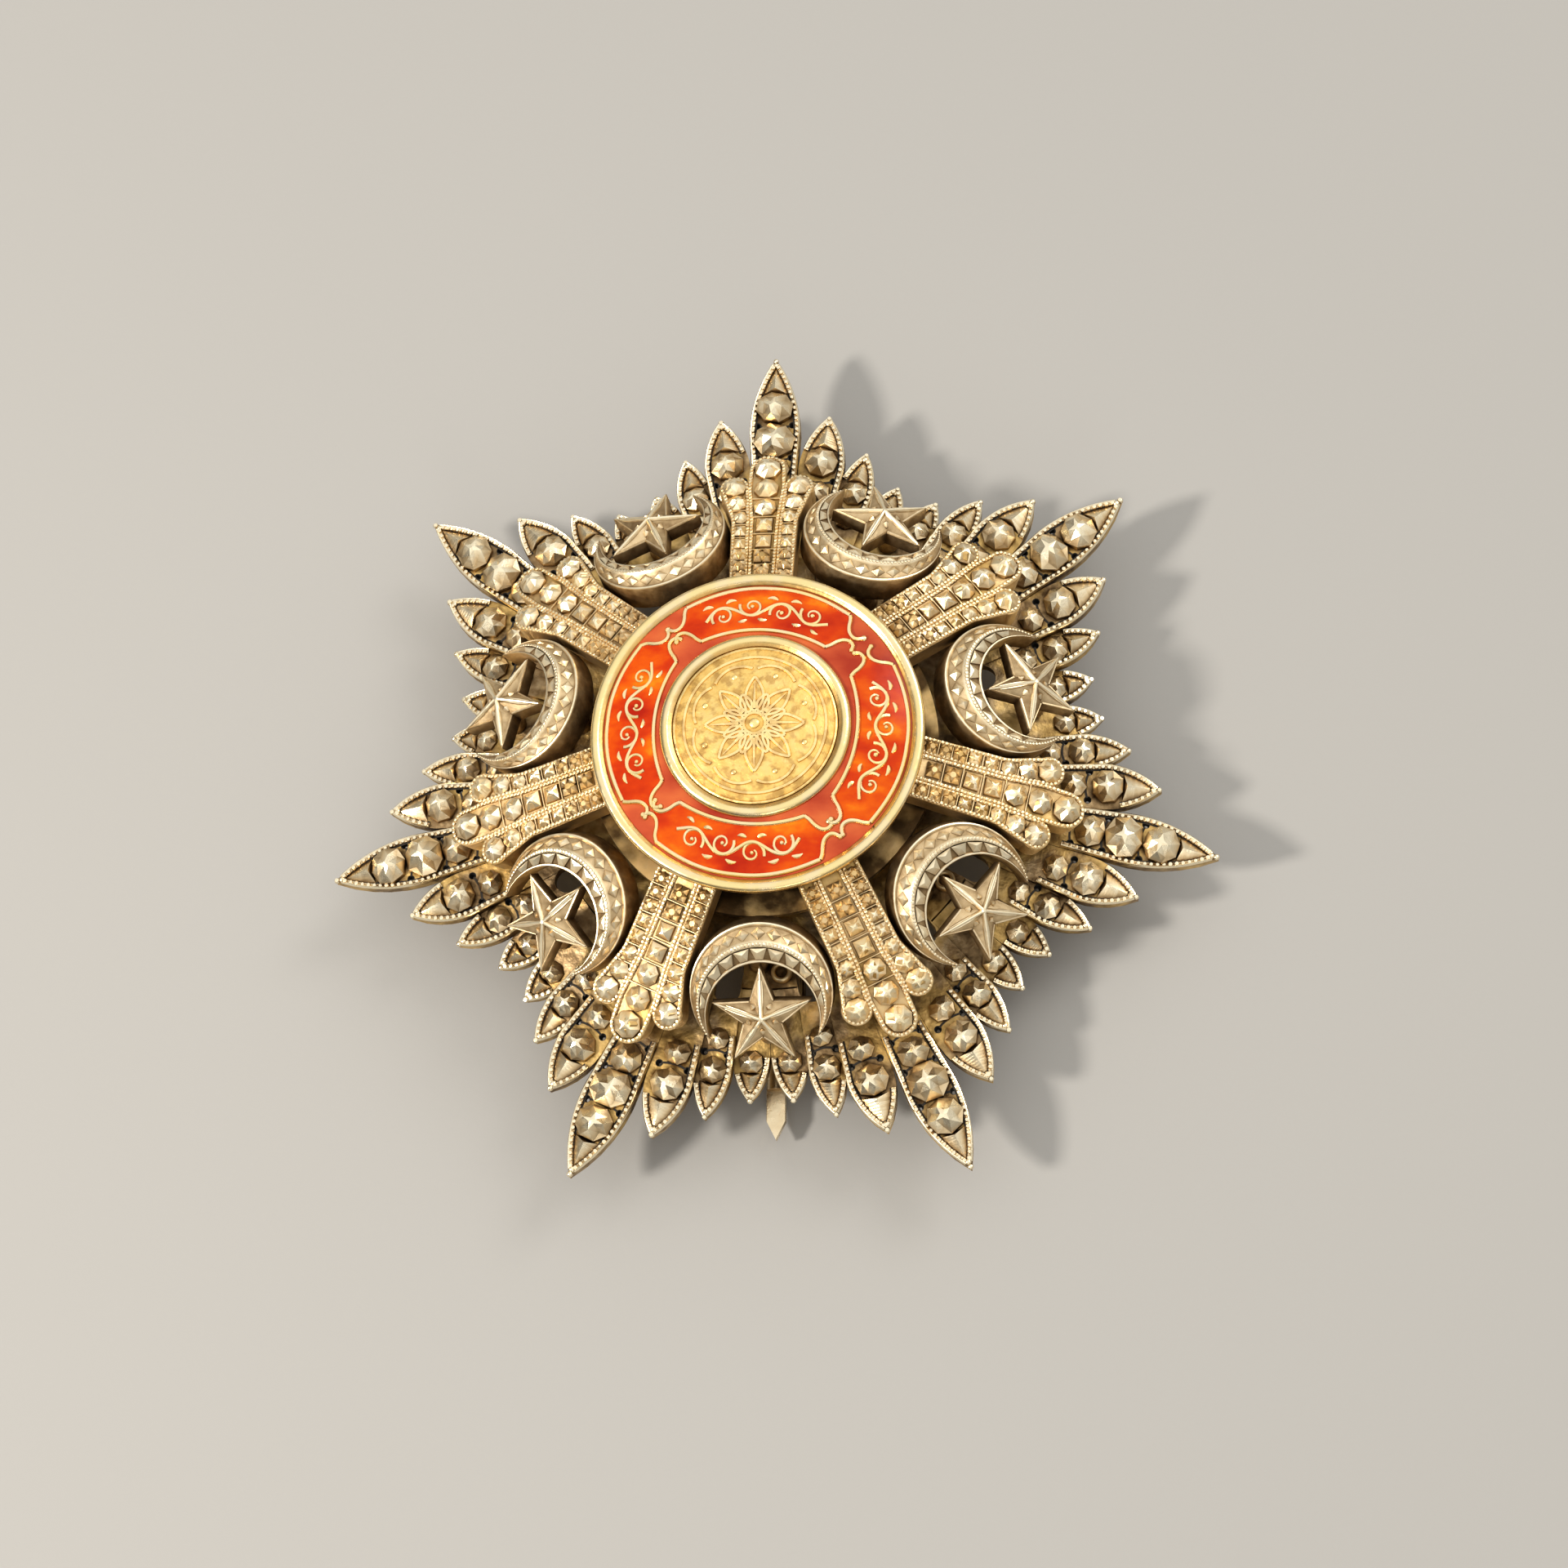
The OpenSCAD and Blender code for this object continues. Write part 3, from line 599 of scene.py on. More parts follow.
edges = Shape()
cuts = Shape()
lines = Shape()
for k in range(4):
    r = ray(k)
    first = [s for s in STUDS if s[0] == k][0]
    for group in range(7):
        for side in ((1,) if k == 0 else (-1, 1)):
            place = at_tip(k, side, group)
            for hand in (-1, 1):
                run = r["runs"][0 if hand * side < 0 else 1]
                border = [(-hand * away, up) for away, up in RAIL]
                sweep(edges, ray_edge(k, hand, run, BORDER_IN), border, RAIL_SHADE, place)
                row = [(x, y, 0.05) for x, y, z in ray_edge(k, hand, run, BEADS_IN)]
                beads(edges, row, BEAD_STEP, BEAD_R, BEAD_RISE, place, shade=1.25)
                sweep(lines, ray_edge(k, hand, run, GROOVE_IN), GROOVE, 0.04, place)
            for y, radius, shade in TIP_BEADS:
                bead(edges, (0, y, 0), radius, 0.3, place, shade, (0, -0.01, 0))
            back = r["tip"] - first[1] * STAR_R - first[2] * RAY_W * 0.98
            crest = back - 0.5
            points = []
            tones = []
            for i in range(FACET_STEPS + 1):
                d = FACET_START + (back - FACET_START) * i / FACET_STEPS
                w = half_width(k, d) - FACET_IN
                top = min(d, crest)
                rise = 0.1 + FACET_RISE * (top - FACET_START) / (crest - FACET_START)
                points += [(-w, -d, 0), (0, -top, rise), (w, -d, 0)]
                # Wear with a painted highlight along the crest, painted shade at the edges and underneath.
                tones += [0.34, 0.75 + 0.3 * i / FACET_STEPS, 0.34]
            faces = []
            bottom = 3 * (FACET_STEPS + 1)
            for i in range(FACET_STEPS):
                a = 3 * i
                b = bottom + 2 * i
                faces += [(a, a + 1, a + 4, a + 3), (a + 1, a + 2, a + 5, a + 4)]
                faces += [(a, a + 3, b + 2, b), (a + 2, a + 5, b + 3, b + 1), (b, b + 2, b + 3, b + 1)]
            for a, b in ((0, bottom), (bottom - 3, bottom + 2 * FACET_STEPS)):
                faces.append((a, a + 1, a + 2, b + 1, b))
            points += [(p[0], p[1], -0.1) for p in points if p[2] == 0]
            cuts.add(points, faces, tones + [0.1] * (len(points) - len(tones)), place, 0.12)
for k, at, size in STUDS:
    for group in range(7):
        for side in ((1,) if k == 0 else (-1, 1)):
            place = at_tip(k, side, group) @ shift(0, at * STAR_R - ray(k)["tip"], 0)
            cut_stud(cuts, place, size * RAY_W, tone=rng.uniform(0.8, 1.05), wide=1.08, long=1.0)
for k, at, off in DRILLS:
    r = ray(k)
    for group in range(7):
        for side in ((1,) if k == 0 else (-1, 1)):
            place = at_tip(k, side, group)
            for hand in (-1, 1):
                spot = place @ shift(hand * off * RAY_W, at * STAR_R - r["tip"], 0)
                # Each drilled hole gets a near-black lining as painted shade.
                lathe(lines, HOLE, 0, spot, 16)
            bow = [(off * RAY_W * u, at * STAR_R - r["tip"] + LINE_BOW * (u * u - 1), 0.012)
                   for u in (-0.85, -0.55, -0.2, 0.2, 0.55, 0.85)]
            sweep(lines, bow, HOLE_LINE, 0.02, place)
lines.piece("ray_lines", dirt_and_painted_shade)
edges.piece("ray_edges", silver, sharp=50)
cuts.piece("ray_cuts", silver)


# Arms: beaded borders and cut studs laid over their plain solids

def on_arm(i):
    """Placement at the outer end of an arm's middle row, with Y outwards along the arm."""
    return (rotation(-i * PITCH) @ shift(0, ARM_REACH, ARM_END_Z) @ rotation(-ARM_SLOPE, "X")
            @ shift(0, -ROW_W / 2, 0))


def row_at(column, y):
    """A size of the arm's rows at a distance from its outer end."""
    return lookup(y / ARM_LEN, [(r[0], r[column]) for r in ROWS]) * ARM_W


def middle_half(y):
    return lookup(y / ARM_LEN, [(0, ROW_W / 2 / ARM_W)] + [(r[0], r[1]) for r in ROWS[1:]]) * ARM_W


def steps_along(y, step, stop):
    """Places of the studs of a row, drawing closer towards the middle of the star."""
    out = []
    while y <= stop:
        out.append(y)
        y += step
        step *= CLOSER
    return out


# Sections of the walls between the rows and of the bars across them, and their shades: painted shade at the
# feet, wear and painted highlights along the tops
WALL = [(-0.24, -0.1), (-0.22, 0.09), (-0.14, 0.18), (0.14, 0.18), (0.22, 0.09), (0.24, -0.1)]
WALL_SHADE = [0.2, 0.5, 0.75, 0.75, 0.5, 0.2]
BAR = [(-0.1, -0.1), (-0.08, 0.14), (-0.03, 0.2), (0.03, 0.2), (0.08, 0.14), (0.1, -0.1)]
WALL_IN = 0.25
WALL_BEAD_STEP = 0.42
WALL_BEAD_R = 0.21
WALL_BEAD_RISE = 0.2

# Shares of an arm's length beyond which there are bars, square studs and quartered blocks
BARS_FROM = 0.3
SQUARE_FROM = 0.48
QUARTERED_FROM = 0.68
CLOSER = 0.93
arm_edges = Shape()
arm_cuts = Shape()
stations = [ARM_LEN * 0.985 * i / 24 for i in range(25)]
for i in range(1, 8):
    place = on_arm(i)
    r0 = ROW_W / 2 - WALL_IN
    end = [(r0 * cos(a), r0 * sin(a), 0) for a in range(170, 5, -10)]
    left = [(-middle_half(y) + WALL_IN, -y, 0) for y in reversed(stations)]
    paths = [left + end + [(-x, y, z) for x, y, z in reversed(left)]]
    y0 = ROWS[1][0] * ARM_LEN
    for hand in (-1, 1):
        past = [y for y in stations if y > y0]
        outer = [(hand * (row_at(2, y) + row_at(3, y) - WALL_IN), -y, 0) for y in reversed(past)]
        inner = [(hand * (row_at(2, y) - row_at(3, y) + WALL_IN), -y, 0) for y in past]
        x0 = row_at(2, y0)
        r0 = row_at(3, y0) - WALL_IN
        end = [(hand * (x0 + r0 * cos(a)), -y0 + r0 * sin(a), 0) for a in range(0, 181, 12)]
        paths.append(outer + end + inner)
    for path in paths:
        sweep(arm_edges, path, WALL, WALL_SHADE, place)
        row = [(x, y, 0.13) for x, y, z in path]
        beads(arm_edges, row, WALL_BEAD_STEP, WALL_BEAD_R, WALL_BEAD_RISE, place, shade=1.05)
    rows = [(0, 0, steps_along(0, ROW_W * 0.73, ARM_LEN - 0.6))]
    rows += [(2, hand, steps_along(y0, ROW_W * 0.565, ARM_LEN - 0.6)) for hand in (-1, 1)]
    for column, hand, row in rows:
        for n, y in enumerate(row):
            x = hand * row_at(2, y) if column else 0
            if column:
                size = row_at(3, y) * 0.755
            else:
                size = lookup(y / ARM_LEN, [(0, 0.345), (0.4, 0.275), (1, 0.175)]) * ROW_W
            square = y > SQUARE_FROM * ARM_LEN
            before = y - row[n - 1] if n else 9
            long = min(1, before * CLOSER * 0.46 / size) if square else 1
            if y > QUARTERED_FROM * ARM_LEN:
                quartered(arm_cuts, place @ shift(x, -y, 0), size, long)
            else:
                cut_stud(arm_cuts, place @ shift(x, -y, 0), size, square, rng.uniform(0.8, 1.1), long)
            if y > BARS_FROM * ARM_LEN and n:
                mid = y - before / 2
                wide = (row_at(3, mid) if column else middle_half(mid)) - 0.1
                across_row = [(x + wide * u, -mid, 0) for u in (-1, 0, 1)]
                sweep(arm_edges, across_row, BAR, WALL_SHADE, place)
arm_edges.piece("arm_edges", gilt, sharp=50)
arm_cuts.piece("arm_cuts", rubbed)


# Crescents

HALF = PITCH / 2
WAIST = ARM_W * (ROWS[2][2] + ROWS[2][3])
LEAN = 0.6 * CRESCENT_WALL * sin(EMBLEM_TILT) * sin(HALF)
SPREAD = math.sqrt(cos(HALF) ** 2 + (cos(EMBLEM_TILT) * sin(HALF)) ** 2)
CRESCENT_R = (EMBLEM_R * sin(HALF) - WAIST - LEAN - SIDE_GAP) / SPREAD
HORN = 48
BITE = CRESCENT_R - CRESCENT_W
INNER_OFF = (CRESCENT_R ** 2 - BITE ** 2) / (2 * (CRESCENT_R * cos(HORN) + BITE))
INNER_R = INNER_OFF + BITE
INNER_TURN = math.degrees(math.atan2(CRESCENT_R * sin(HORN), INNER_OFF - CRESCENT_R * cos(HORN)))


def on_emblem(i):
    """Placement in the tilted plane of a crescent and its small star."""
    return rotation(-(i - 0.5) * PITCH) @ shift(0, EMBLEM_R, EMBLEM_Z) @ rotation(-EMBLEM_TILT, "X")


def across(t, s):
    """Point of the crescent's plan: t runs from horn to horn, s from the outer edge to the inner one."""
    a = t * (180 - HORN)
    b = t * INNER_TURN
    outer = Vector((CRESCENT_R * sin(a), -CRESCENT_R * cos(a), 0))
    inner = Vector((INNER_R * sin(b), INNER_OFF - INNER_R * cos(b), 0))
    return outer.lerp(inner, s), (inner - outer).length / CRESCENT_W


# Section of a crescent: place from the outer edge to the inner one, height, shade; the low shades on the
# walls and slopes are painted shade, the high ones on the rims and ridge are wear and painted highlights
SECTION = [(0, -CRESCENT_WALL, 0.15), (0, -0.1, 0.36), (0.015, 0.06, 0.95), (0.05, 0.12, 1),
           (0.085, 0.06, 0.8), (0.12, 0.0, 0.45), (0.4, 0.62, 0.52), (0.44, 0.86, 0.9), (0.48, 0.96, 1),
           (0.53, 0.96, 1), (0.57, 0.84, 0.9), (0.59, 0.56, 0.42), (0.9, 0.06, 0.35), (0.93, 0.16, 0.9),
           (0.975, 0.16, 1), (1, 0.02, 0.6), (1, -CRESCENT_WALL, 0.1)]
OUTER_TEETH = 13
OUTER_STEP = 0.106
INNER_TEETH = 11
INNER_STEP = 0.135

# How near to the horns a crescent runs, its steps on each side, and the least share of its height there
HORN_END = 0.985
CRESCENT_STEPS = 60
HORN_HEIGHT = 0.12
RIDGE_BEADS = (0.36, 0.22, 0.08)


def tooth(shape, t, step, place, inner):
    """A cut block on the inner slope of a crescent, or a cut point on the outer one."""
    plan = [(-0.46, 0.6, 0.72), (0.46, 0.6, 0.72), (0.24, 0.9, 0.3), (-0.24, 0.9, 0.3)] if inner else [
        (0, 0.13, 0.1), (-0.46, 0.25, 0.34), (0, 0.4, 0.66), (0.46, 0.25, 0.34)]
    mid, top = (0.72, 0.78) if inner else (0.25, 0.74)
    points = []
    for sunk in (0.3, 0):
        for u, s, up in plan:
            spot, q = across(t + u * step, s)
            points.append(spot + Vector((0, 0, up * q - sunk)))
    crest, q = across(t + rng.uniform(-0.08, 0.08) * step, mid)
    points.append(crest + Vector((0, 0, top * q * rng.uniform(0.94, 1.04))))
    faces = [tuple(range(4))]
    for j in range(4):
        k = (j + 1) % 4
        faces += [(j, k, 4 + k, 4 + j), (4 + j, 4 + k, 8)]
    # Painted shade at each tooth's base and a painted highlight with wear on its point.
    shape.add(points, faces, [0.25] * 4 + ([0.85, 0.85, 0.65, 0.65] if inner else [0.6] * 4) + [1.15], place,
              0.22)


def post(shape, place, radius, low, high):
    profile = [(0, low), (radius * 1.12, low), (radius, low + 0.3), (radius, high), (0, high)]
    lathe(shape, profile, 0.35, place, 24)


for i in range(1, 8):
    shape = Shape()
    place = on_emblem(i)
    ends = range(-CRESCENT_STEPS, CRESCENT_STEPS + 1)
    stations = [HORN_END * math.sin(math.pi / 2 * (j / CRESCENT_STEPS)) for j in ends]
    points = []
    for t in stations:
        for s, up, tone in SECTION:
            spot, q = across(t, s)
            high = up if up < 0 else up * max(q, HORN_HEIGHT)
            points.append(spot + Vector((0, 0, high)))
    m = len(SECTION)
    faces = [tuple(range(m)), tuple(range((len(stations) - 1) * m, len(stations) * m))]
    for a in range(0, (len(stations) - 1) * m, m):
        faces += [(a + j, a + (j + 1) % m, a + m + (j + 1) % m, a + m + j) for j in range(m)]
    shape.add(points, faces, [tone for _, _, tone in SECTION] * len(stations), place)
    for j in range(OUTER_TEETH):
        tooth(shape, (j - OUTER_TEETH // 2) * OUTER_STEP, OUTER_STEP, place, False)
    for j in range(INNER_TEETH):
        tooth(shape, (j - INNER_TEETH // 2) * INNER_STEP, INNER_STEP, place, True)
    ridge = []
    for j in range(-48, 49):
        spot, q = across(j / 50, 0.5)
        ridge.append((spot.x, spot.y, 0.93 * max(q, HORN_HEIGHT)))
    beads(shape, ridge, *RIDGE_BEADS, place, taper=lambda u: 0.45 + 0.55 * math.sin(math.pi * u))
    top = EMBLEM_Z + POST_IN * tan(EMBLEM_TILT) - CRESCENT_WALL * 0.65 + SEAT
    foot = rotation(-(i - 0.5) * PITCH) @ shift(POST_SIDE, EMBLEM_R - POST_IN, 0)
    post(shape, foot, POST_R, PLATE_T + SEAT, top)
    shape.piece(f"crescent_cut_{i}", silver_soft, [f"crescent_{i}"], sharp=28)


# Small stars

STAR_SIZE = BITE + STAR_OUT - SIDE_GAP
FACET_EDGE = 0.06
FACE_SHARE = 0.97
RIB_SHARE = 0.42
PLATE_FALL = 0.2556
RIDGE = [(-0.26, -0.16), (-0.12, 0.08), (0, 0.14), (0.12, 0.08), (0.26, -0.16)]
# Ridge shades: painted shade at the sides and wear with painted highlights along the crest.
RIDGE_SHADE = [0.35, 0.95, 1.2, 0.95, 0.35]
RIB = [(-0.1, -0.1), (-0.05, 0.08), (0.05, 0.08), (0.1, -0.1)]
STAR_LIP = [(-0.16, -0.12), (-0.1, 0.06), (0.04, 0.08), (0.12, -0.12)]


def on_face(out):
    """Height of the star's facets above its plane, at a share of the way from its middle to its edge."""
    return STAR_PEAK + (FACET_EDGE - STAR_PEAK) * out


for i in range(1, 8):
    shape = Shape()
    place = on_emblem(i) @ shift(0, STAR_OUT, STAR_LIFT) @ rotation(rng.uniform(-1.5, 1.5))
    ring = []
    for j in range(10):
        r = STAR_SIZE if j % 2 == 0 else STAR_SIZE * STAR_WAIST
        ring.append(Vector((r * sin(180 - j * 36), r * cos(180 - j * 36), 0)))
    base = [p + Vector((0, 0, -STAR_EDGE)) for p in ring]
    top = [p * FACE_SHARE + Vector((0, 0, FACET_EDGE)) for p in ring]
    faces = [tuple(range(10))]
    for j in range(10):
        k = (j + 1) % 10
        faces += [(j, k, 10 + k, 10 + j), (10 + j, 10 + k, 20 + k, 20 + j), (20 + j, 20 + k, 30)]
    # Body tones: painted shade on the sides, darker facets and a brighter middle.
    shape.add(base + ring + top + [Vector((0, 0, STAR_PEAK))], faces,
              [0.15] * 10 + [0.45] * 10 + [0.5, 0.34] * 5 + [0.6], place, 0.28)
    for j in range(5):
        tip = ring[2 * j] * FACE_SHARE
        path = [(tip.x * u, tip.y * u, on_face(u)) for u in (0.02, 0.25, 0.5, 0.75, 0.98)]
        sweep(shape, path, RIDGE, RIDGE_SHADE, place, [1.1, 1.0, 0.85, 0.7, 0.45])
        for hand in (-1, 1):
            dip = ring[(2 * j + hand) % 10] * FACE_SHARE
            path = []
            for u in (0.25, 0.45, 0.65, 0.85):
                a = tip * u
                b = dip * u
                at = a.lerp(b, RIB_SHARE * (1 - u) + 0.12)
                path.append((at.x, at.y, on_face(u) + 0.02))
            # Ribs and lip are painted darker at their feet and brighter on top, as painted shade and
            # highlights.
            sweep(shape, path, RIB, [0.3, 1.05, 1.05, 0.3], place, [0.8, 1.3, 1.2, 0.5])
            outer = [(tip * 0.965).lerp(dip * 0.965, u) for u in (0.02, 0.35, 0.7, 0.97)]
            sweep(shape, [(p.x, p.y, 0.05) for p in outer], STAR_LIP, [0.3, 0.72, 0.72, 0.3], place)
        dip = ring[2 * j + 1] * 0.62
        side = Vector((-dip.y, dip.x, 0)).normalized() * 0.52
        z = on_face(0.66)
        gem = [dip * 0.72, dip + side, dip * 1.36, dip - side, dip]
        gem = [Vector((p.x, p.y, z + up)) for p, up in zip(gem, (0.06, 0.02, -0.12, 0.02, 0.32))]
        gem += [Vector((p.x, p.y, z - 0.3)) for p in gem[:4]]
        faces = [(5, 6, 7, 8)]
        for c in range(4):
            d = (c + 1) % 4
            faces += [(c, d, 4), (c, d, 5 + d, 5 + c)]
        # The lozenge is painted bright at its point and dark below, as painted highlight and shade.
        shape.add(gem, faces, [0.5] * 4 + [1.15] + [0.1] * 4, place)
    bead(shape, (0, 0, STAR_PEAK), 0.26, 0.16, place, 1.15)
    out = EMBLEM_R + STAR_OUT * cos(EMBLEM_TILT)
    low = PLATE_T - root_step(3) - (out - POST_R - HUB_R) * PLATE_FALL + 2 * SEAT
    high = EMBLEM_Z - STAR_OUT * sin(EMBLEM_TILT) - STAR_EDGE * 0.4
    post(shape, rotation(-(i - 0.5) * PITCH) @ shift(0, out, 0), POST_R, low, high)
    shape.piece(f"small_star_cut_{i}", silver_soft, [f"small_star_{i}"])


# Hollow rivets

RIVET = [(0.55, 0), (1.05, 0), (1.03, 0.55), (0.95, 0.74), (0.8, 0.8), (0.66, 0.74), (0.57, 0.55)]
# Shades: painted shade at the foot, wear and painted highlight on the rounded top.
RIVET_SHADE = [0.1, 0.3, 0.6, 0.9, 1, 0.8, 0.3]
for i in range(1, 8):
    shape = Shape()
    place = rotation(-(i - 0.5) * PITCH) @ shift(-RIVET_SIDE, EMBLEM_R - RIVET_IN, PLATE_T + SEAT)
    lathe(shape, RIVET, RIVET_SHADE, place, 32)
    shape.piece(f"rivet_{i}", gilt, [f"eyelet_{i}"], sharp=50)


# Medallion

def dome(r):
    """Height of the medallion's dome at a radius."""
    return DOME_Z + math.sqrt(DOME_R ** 2 - r ** 2)


def polar(angle, r, up=0.0):
    """Point on the dome, or above it."""
    return Vector((r * sin(angle), r * cos(angle), dome(r) + up))


cup = Shape()
outer = MEDAL_R
inner = MEDAL_R - RIM_W
RIM_FOOT = 13.9
rim = [(RIM_FOOT, MEDAL_Z), (outer - 0.31, MEDAL_Z), (outer - 0.31, MEDAL_Z + 0.55),
       (outer - 0.12, MEDAL_Z + 0.72), (outer, MEDAL_Z + 0.95), (outer, RIM_Z - 0.34),
       (outer - 0.09, RIM_Z - 0.13), (outer - 0.26, RIM_Z - 0.02), (outer - 0.5, RIM_Z + 0.02),
       (outer - 0.74, RIM_Z - 0.02), (outer - 0.92, RIM_Z - 0.12), (outer - 1.0, RIM_Z - 0.2),
       (outer - 1.16, RIM_Z - 0.24), (inner, RIM_Z - 0.33), (inner, RIM_Z - 0.75),
       (RIM_FOOT, RIM_Z - 0.95)]
# Rim shades: painted shade at its feet and inner edge, wear and painted highlights along its top.
rim_shade = [0.1, 0.2, 0.15, 0.35, 0.7, 0.8, 0.9, 1, 1, 1, 0.85, 0.5, 0.45, 0.3, 0.1, 0.1]
lathe(cup, rim, rim_shade, steps=256)
ring = [(RING_R, -0.4), (RING_R, 0.02), (9.24, 0.2), (9.05, 0.34), (8.82, 0.39), (8.6, 0.36), (8.42, 0.26),
        (8.3, 0.12), (8.12, 0.06), (8.03, -0.05), (8.0, -0.4)]
# Ring shades: painted shade at the feet, wear and painted highlights on the crown.
ring_shade = [0.1, 0.3, 0.7, 1, 1, 1, 0.8, 0.45, 0.35, 0.3, 0.1]
lathe(cup, [(r, dome(r) + up) for r, up in ring], ring_shade, steps=224)

# Directions of the four cartouches, and the section and shades of the wire round them; the shades paint shade
# along the wire's feet and wear with painted highlights along its top
CENTRES = [4.6, 98.1, 188.2, 275.6]
WIRE = [(-0.25, -0.12), (-0.22, 0.08), (-0.13, 0.18), (0.13, 0.18), (0.22, 0.08), (0.25, -0.12)]
WIRE_SHADE = [0.4, 0.75, 1.1, 1.1, 0.75, 0.4]


def curve_through(points, per=6):
    """A smooth curve through points of (angle, radius)."""
    out = []
    p = [points[0]] + list(points) + [points[-1]]
    for i in range(1, len(p) - 2):
        for j in range(per):
            u = j / per
            out.append(tuple(0.5 * (2 * p[i][c] + (p[i + 1][c] - p[i - 1][c]) * u
                                    + (2 * p[i - 1][c] - 5 * p[i][c] + 4 * p[i + 1][c] - p[i + 2][c]) * u * u
                                    + (3 * p[i][c] - p[i - 1][c] - 3 * p[i + 1][c] + p[i + 2][c]) * u ** 3)
                             for c in (0, 1)))
    return out + [tuple(points[-1])]



# Angles at which a cartouche's long edges end, and the radius of the outer one
TURN = 33.2
CORNER = 35.7
OUTER_LINE = 14.6


def inner_line(a):
    """Radius of a cartouche's inner edge at an angle from its middle."""
    return 9.86 + 0.5 * (a / CORNER) ** 2


UPPER_HORN = [(TURN, OUTER_LINE), (34.9, 14.2), (36.6, 13.55), (38.6, 13.12), (41.2, 12.98), (43.2, 13.2),
              (44.4, 13.7)]
LOWER_HORN = [(CORNER, 10.36), (37.0, 10.85), (37.9, 11.5), (39.6, 12.15), (42.0, 12.45), (44.4, 12.35),
              (45.7, 11.95)]
for centre in CENTRES:
    for hand in (-1, 1):
        strokes = [[(a, OUTER_LINE + 0.03 * sin(a * 9)) for a in range(0, 33, 2)] + [(TURN, OUTER_LINE)],
                   curve_through([(TURN + rng.uniform(-0.5, 0.5), OUTER_LINE)] + UPPER_HORN[1:]),
                   [(a, inner_line(a)) for a in range(0, 35, 2)] + [LOWER_HORN[0]],
                   curve_through(LOWER_HORN)]
        for stroke in strokes:
            path = [tuple(polar(centre + hand * a, r)) for a, r in stroke]
            sweep(cup, path, WIRE, WIRE_SHADE)
        for a, r in (UPPER_HORN[-1], LOWER_HORN[-1]):
            bead(cup, polar(centre + hand * a, r), 0.3, 0.2, shade=1)

# Leafy scroll inside each cartouche, made of a wavy stem, curls and small leaves
VINE = [(-0.22, -0.1), (-0.19, 0.05), (-0.12, 0.14), (0.12, 0.14), (0.19, 0.05), (0.22, -0.1)]
BAY = 2.95
BAND_R = 12.25
WAVE = 0.72
CURL_STEPS = 29


def on_band(centre, u, v):
    """Point u along the band from a cartouche's middle and v outwards."""
    return polar(centre + math.degrees(u / BAND_R), BAND_R + v)


for centre in CENTRES:
    stem = [(u / 10, WAVE * math.sin(math.pi * u / 10 / BAY)) for u in range(-62, 63, 2)]
    sweep(cup, [tuple(on_band(centre, u, v)) for u, v in stem], VINE, WIRE_SHADE)
    for bay in range(-3, 3):
        hand = 1 if bay % 2 == 0 else -1
        u0 = (bay + 0.5) * BAY
        if abs(u0) > 5.5:
            continue
        curl = []
        for j in range(CURL_STEPS + 1):
            f = j / CURL_STEPS
            a = math.radians(200 - 430 * f)
            r = 1.2 * (1 - f) + 0.3 * f
            curl.append((u0 + r * math.cos(a), hand * (-0.3 + r * math.sin(a))))
        sweep(cup, [tuple(on_band(centre, u, v)) for u, v in curl], VINE, WIRE_SHADE,
              scale=[1 - 0.45 * j / CURL_STEPS for j in range(CURL_STEPS + 1)])
        bead(cup, on_band(centre, u0 + 0.02, -0.3 * hand), 0.24, 0.17, shade=1)
        for side in (-1, 1):
            leaf = [(u0 + side * (0.6 + 0.19 * j), hand * (1.12 + 0.12 * j - 0.02 * j * j)) for j in range(6)]
            sweep(cup, [tuple(on_band(centre, u, v)) for u, v in leaf], VINE, WIRE_SHADE,
                  scale=[0.5, 1.0, 1.25, 1.1, 0.75, 0.3])
cup.piece("medallion_gold", gold, ["medallion_cup"], sharp=40)

field = Shape()
near, far = 9.2, inner + 0.05
radii = [near + (far - near) * j / 12 for j in range(13)]
profile = [(r, dome(r) - 0.02) for r in radii] + [(far, dome(inner) - 0.4), (near, dome(near) - 0.4)]
lathe(field, profile, 0.5, steps=180)
field.piece("enamel_ground", field_enamel, ["enamel_field"], sharp=40)


# Outline of an enamel panel, each point an angle and a radius, and its steps
OUT_LINE = [(0, OUTER_LINE), (TURN, OUTER_LINE), (35.8, 13.9), (38.6, 13.15), (41.2, 12.98), (42, 12.8)]
IN_LINE = [LOWER_HORN[0], (37.0, 10.85), (37.9, 11.5), (39.6, 12.15), (42, 12.5)]
END = 42
ACROSS = 60
UP = 8
for n, centre in enumerate(CENTRES, 1):
    panel = Shape()
    top = []
    for i in range(ACROSS + 1):
        a = END * (i - ACROSS // 2) / (ACROSS // 2)
        low = inner_line(a) if abs(a) < CORNER else lookup(abs(a), IN_LINE)
        high = lookup(abs(a), OUT_LINE)
        top += [polar(centre + a, low + (high - low) * j / UP, 0.03) for j in range(UP + 1)]
    faces = []
    row = UP + 1
    bottom = len(top)
    for a in range(0, ACROSS * row, row):
        for j in range(UP):
            q = (a + j, a + j + 1, a + j + row + 1, a + j + row)
            faces += [q, tuple(x + bottom for x in reversed(q))]
        for j in (0, UP):
            faces.append((a + j, a + row + j, bottom + a + row + j, bottom + a + j))
    for a in (0, ACROSS * row):
        for j in range(UP):
            faces.append((a + j, a + j + 1, bottom + a + j + 1, bottom + a + j))
    panel.add(top + [p - Vector((0, 0, 0.3)) for p in top], faces, 0.5)
    panel.piece(f"enamel_cartouche_{n}", panel_enamel, [f"enamel_panel_{n}"], sharp=40)

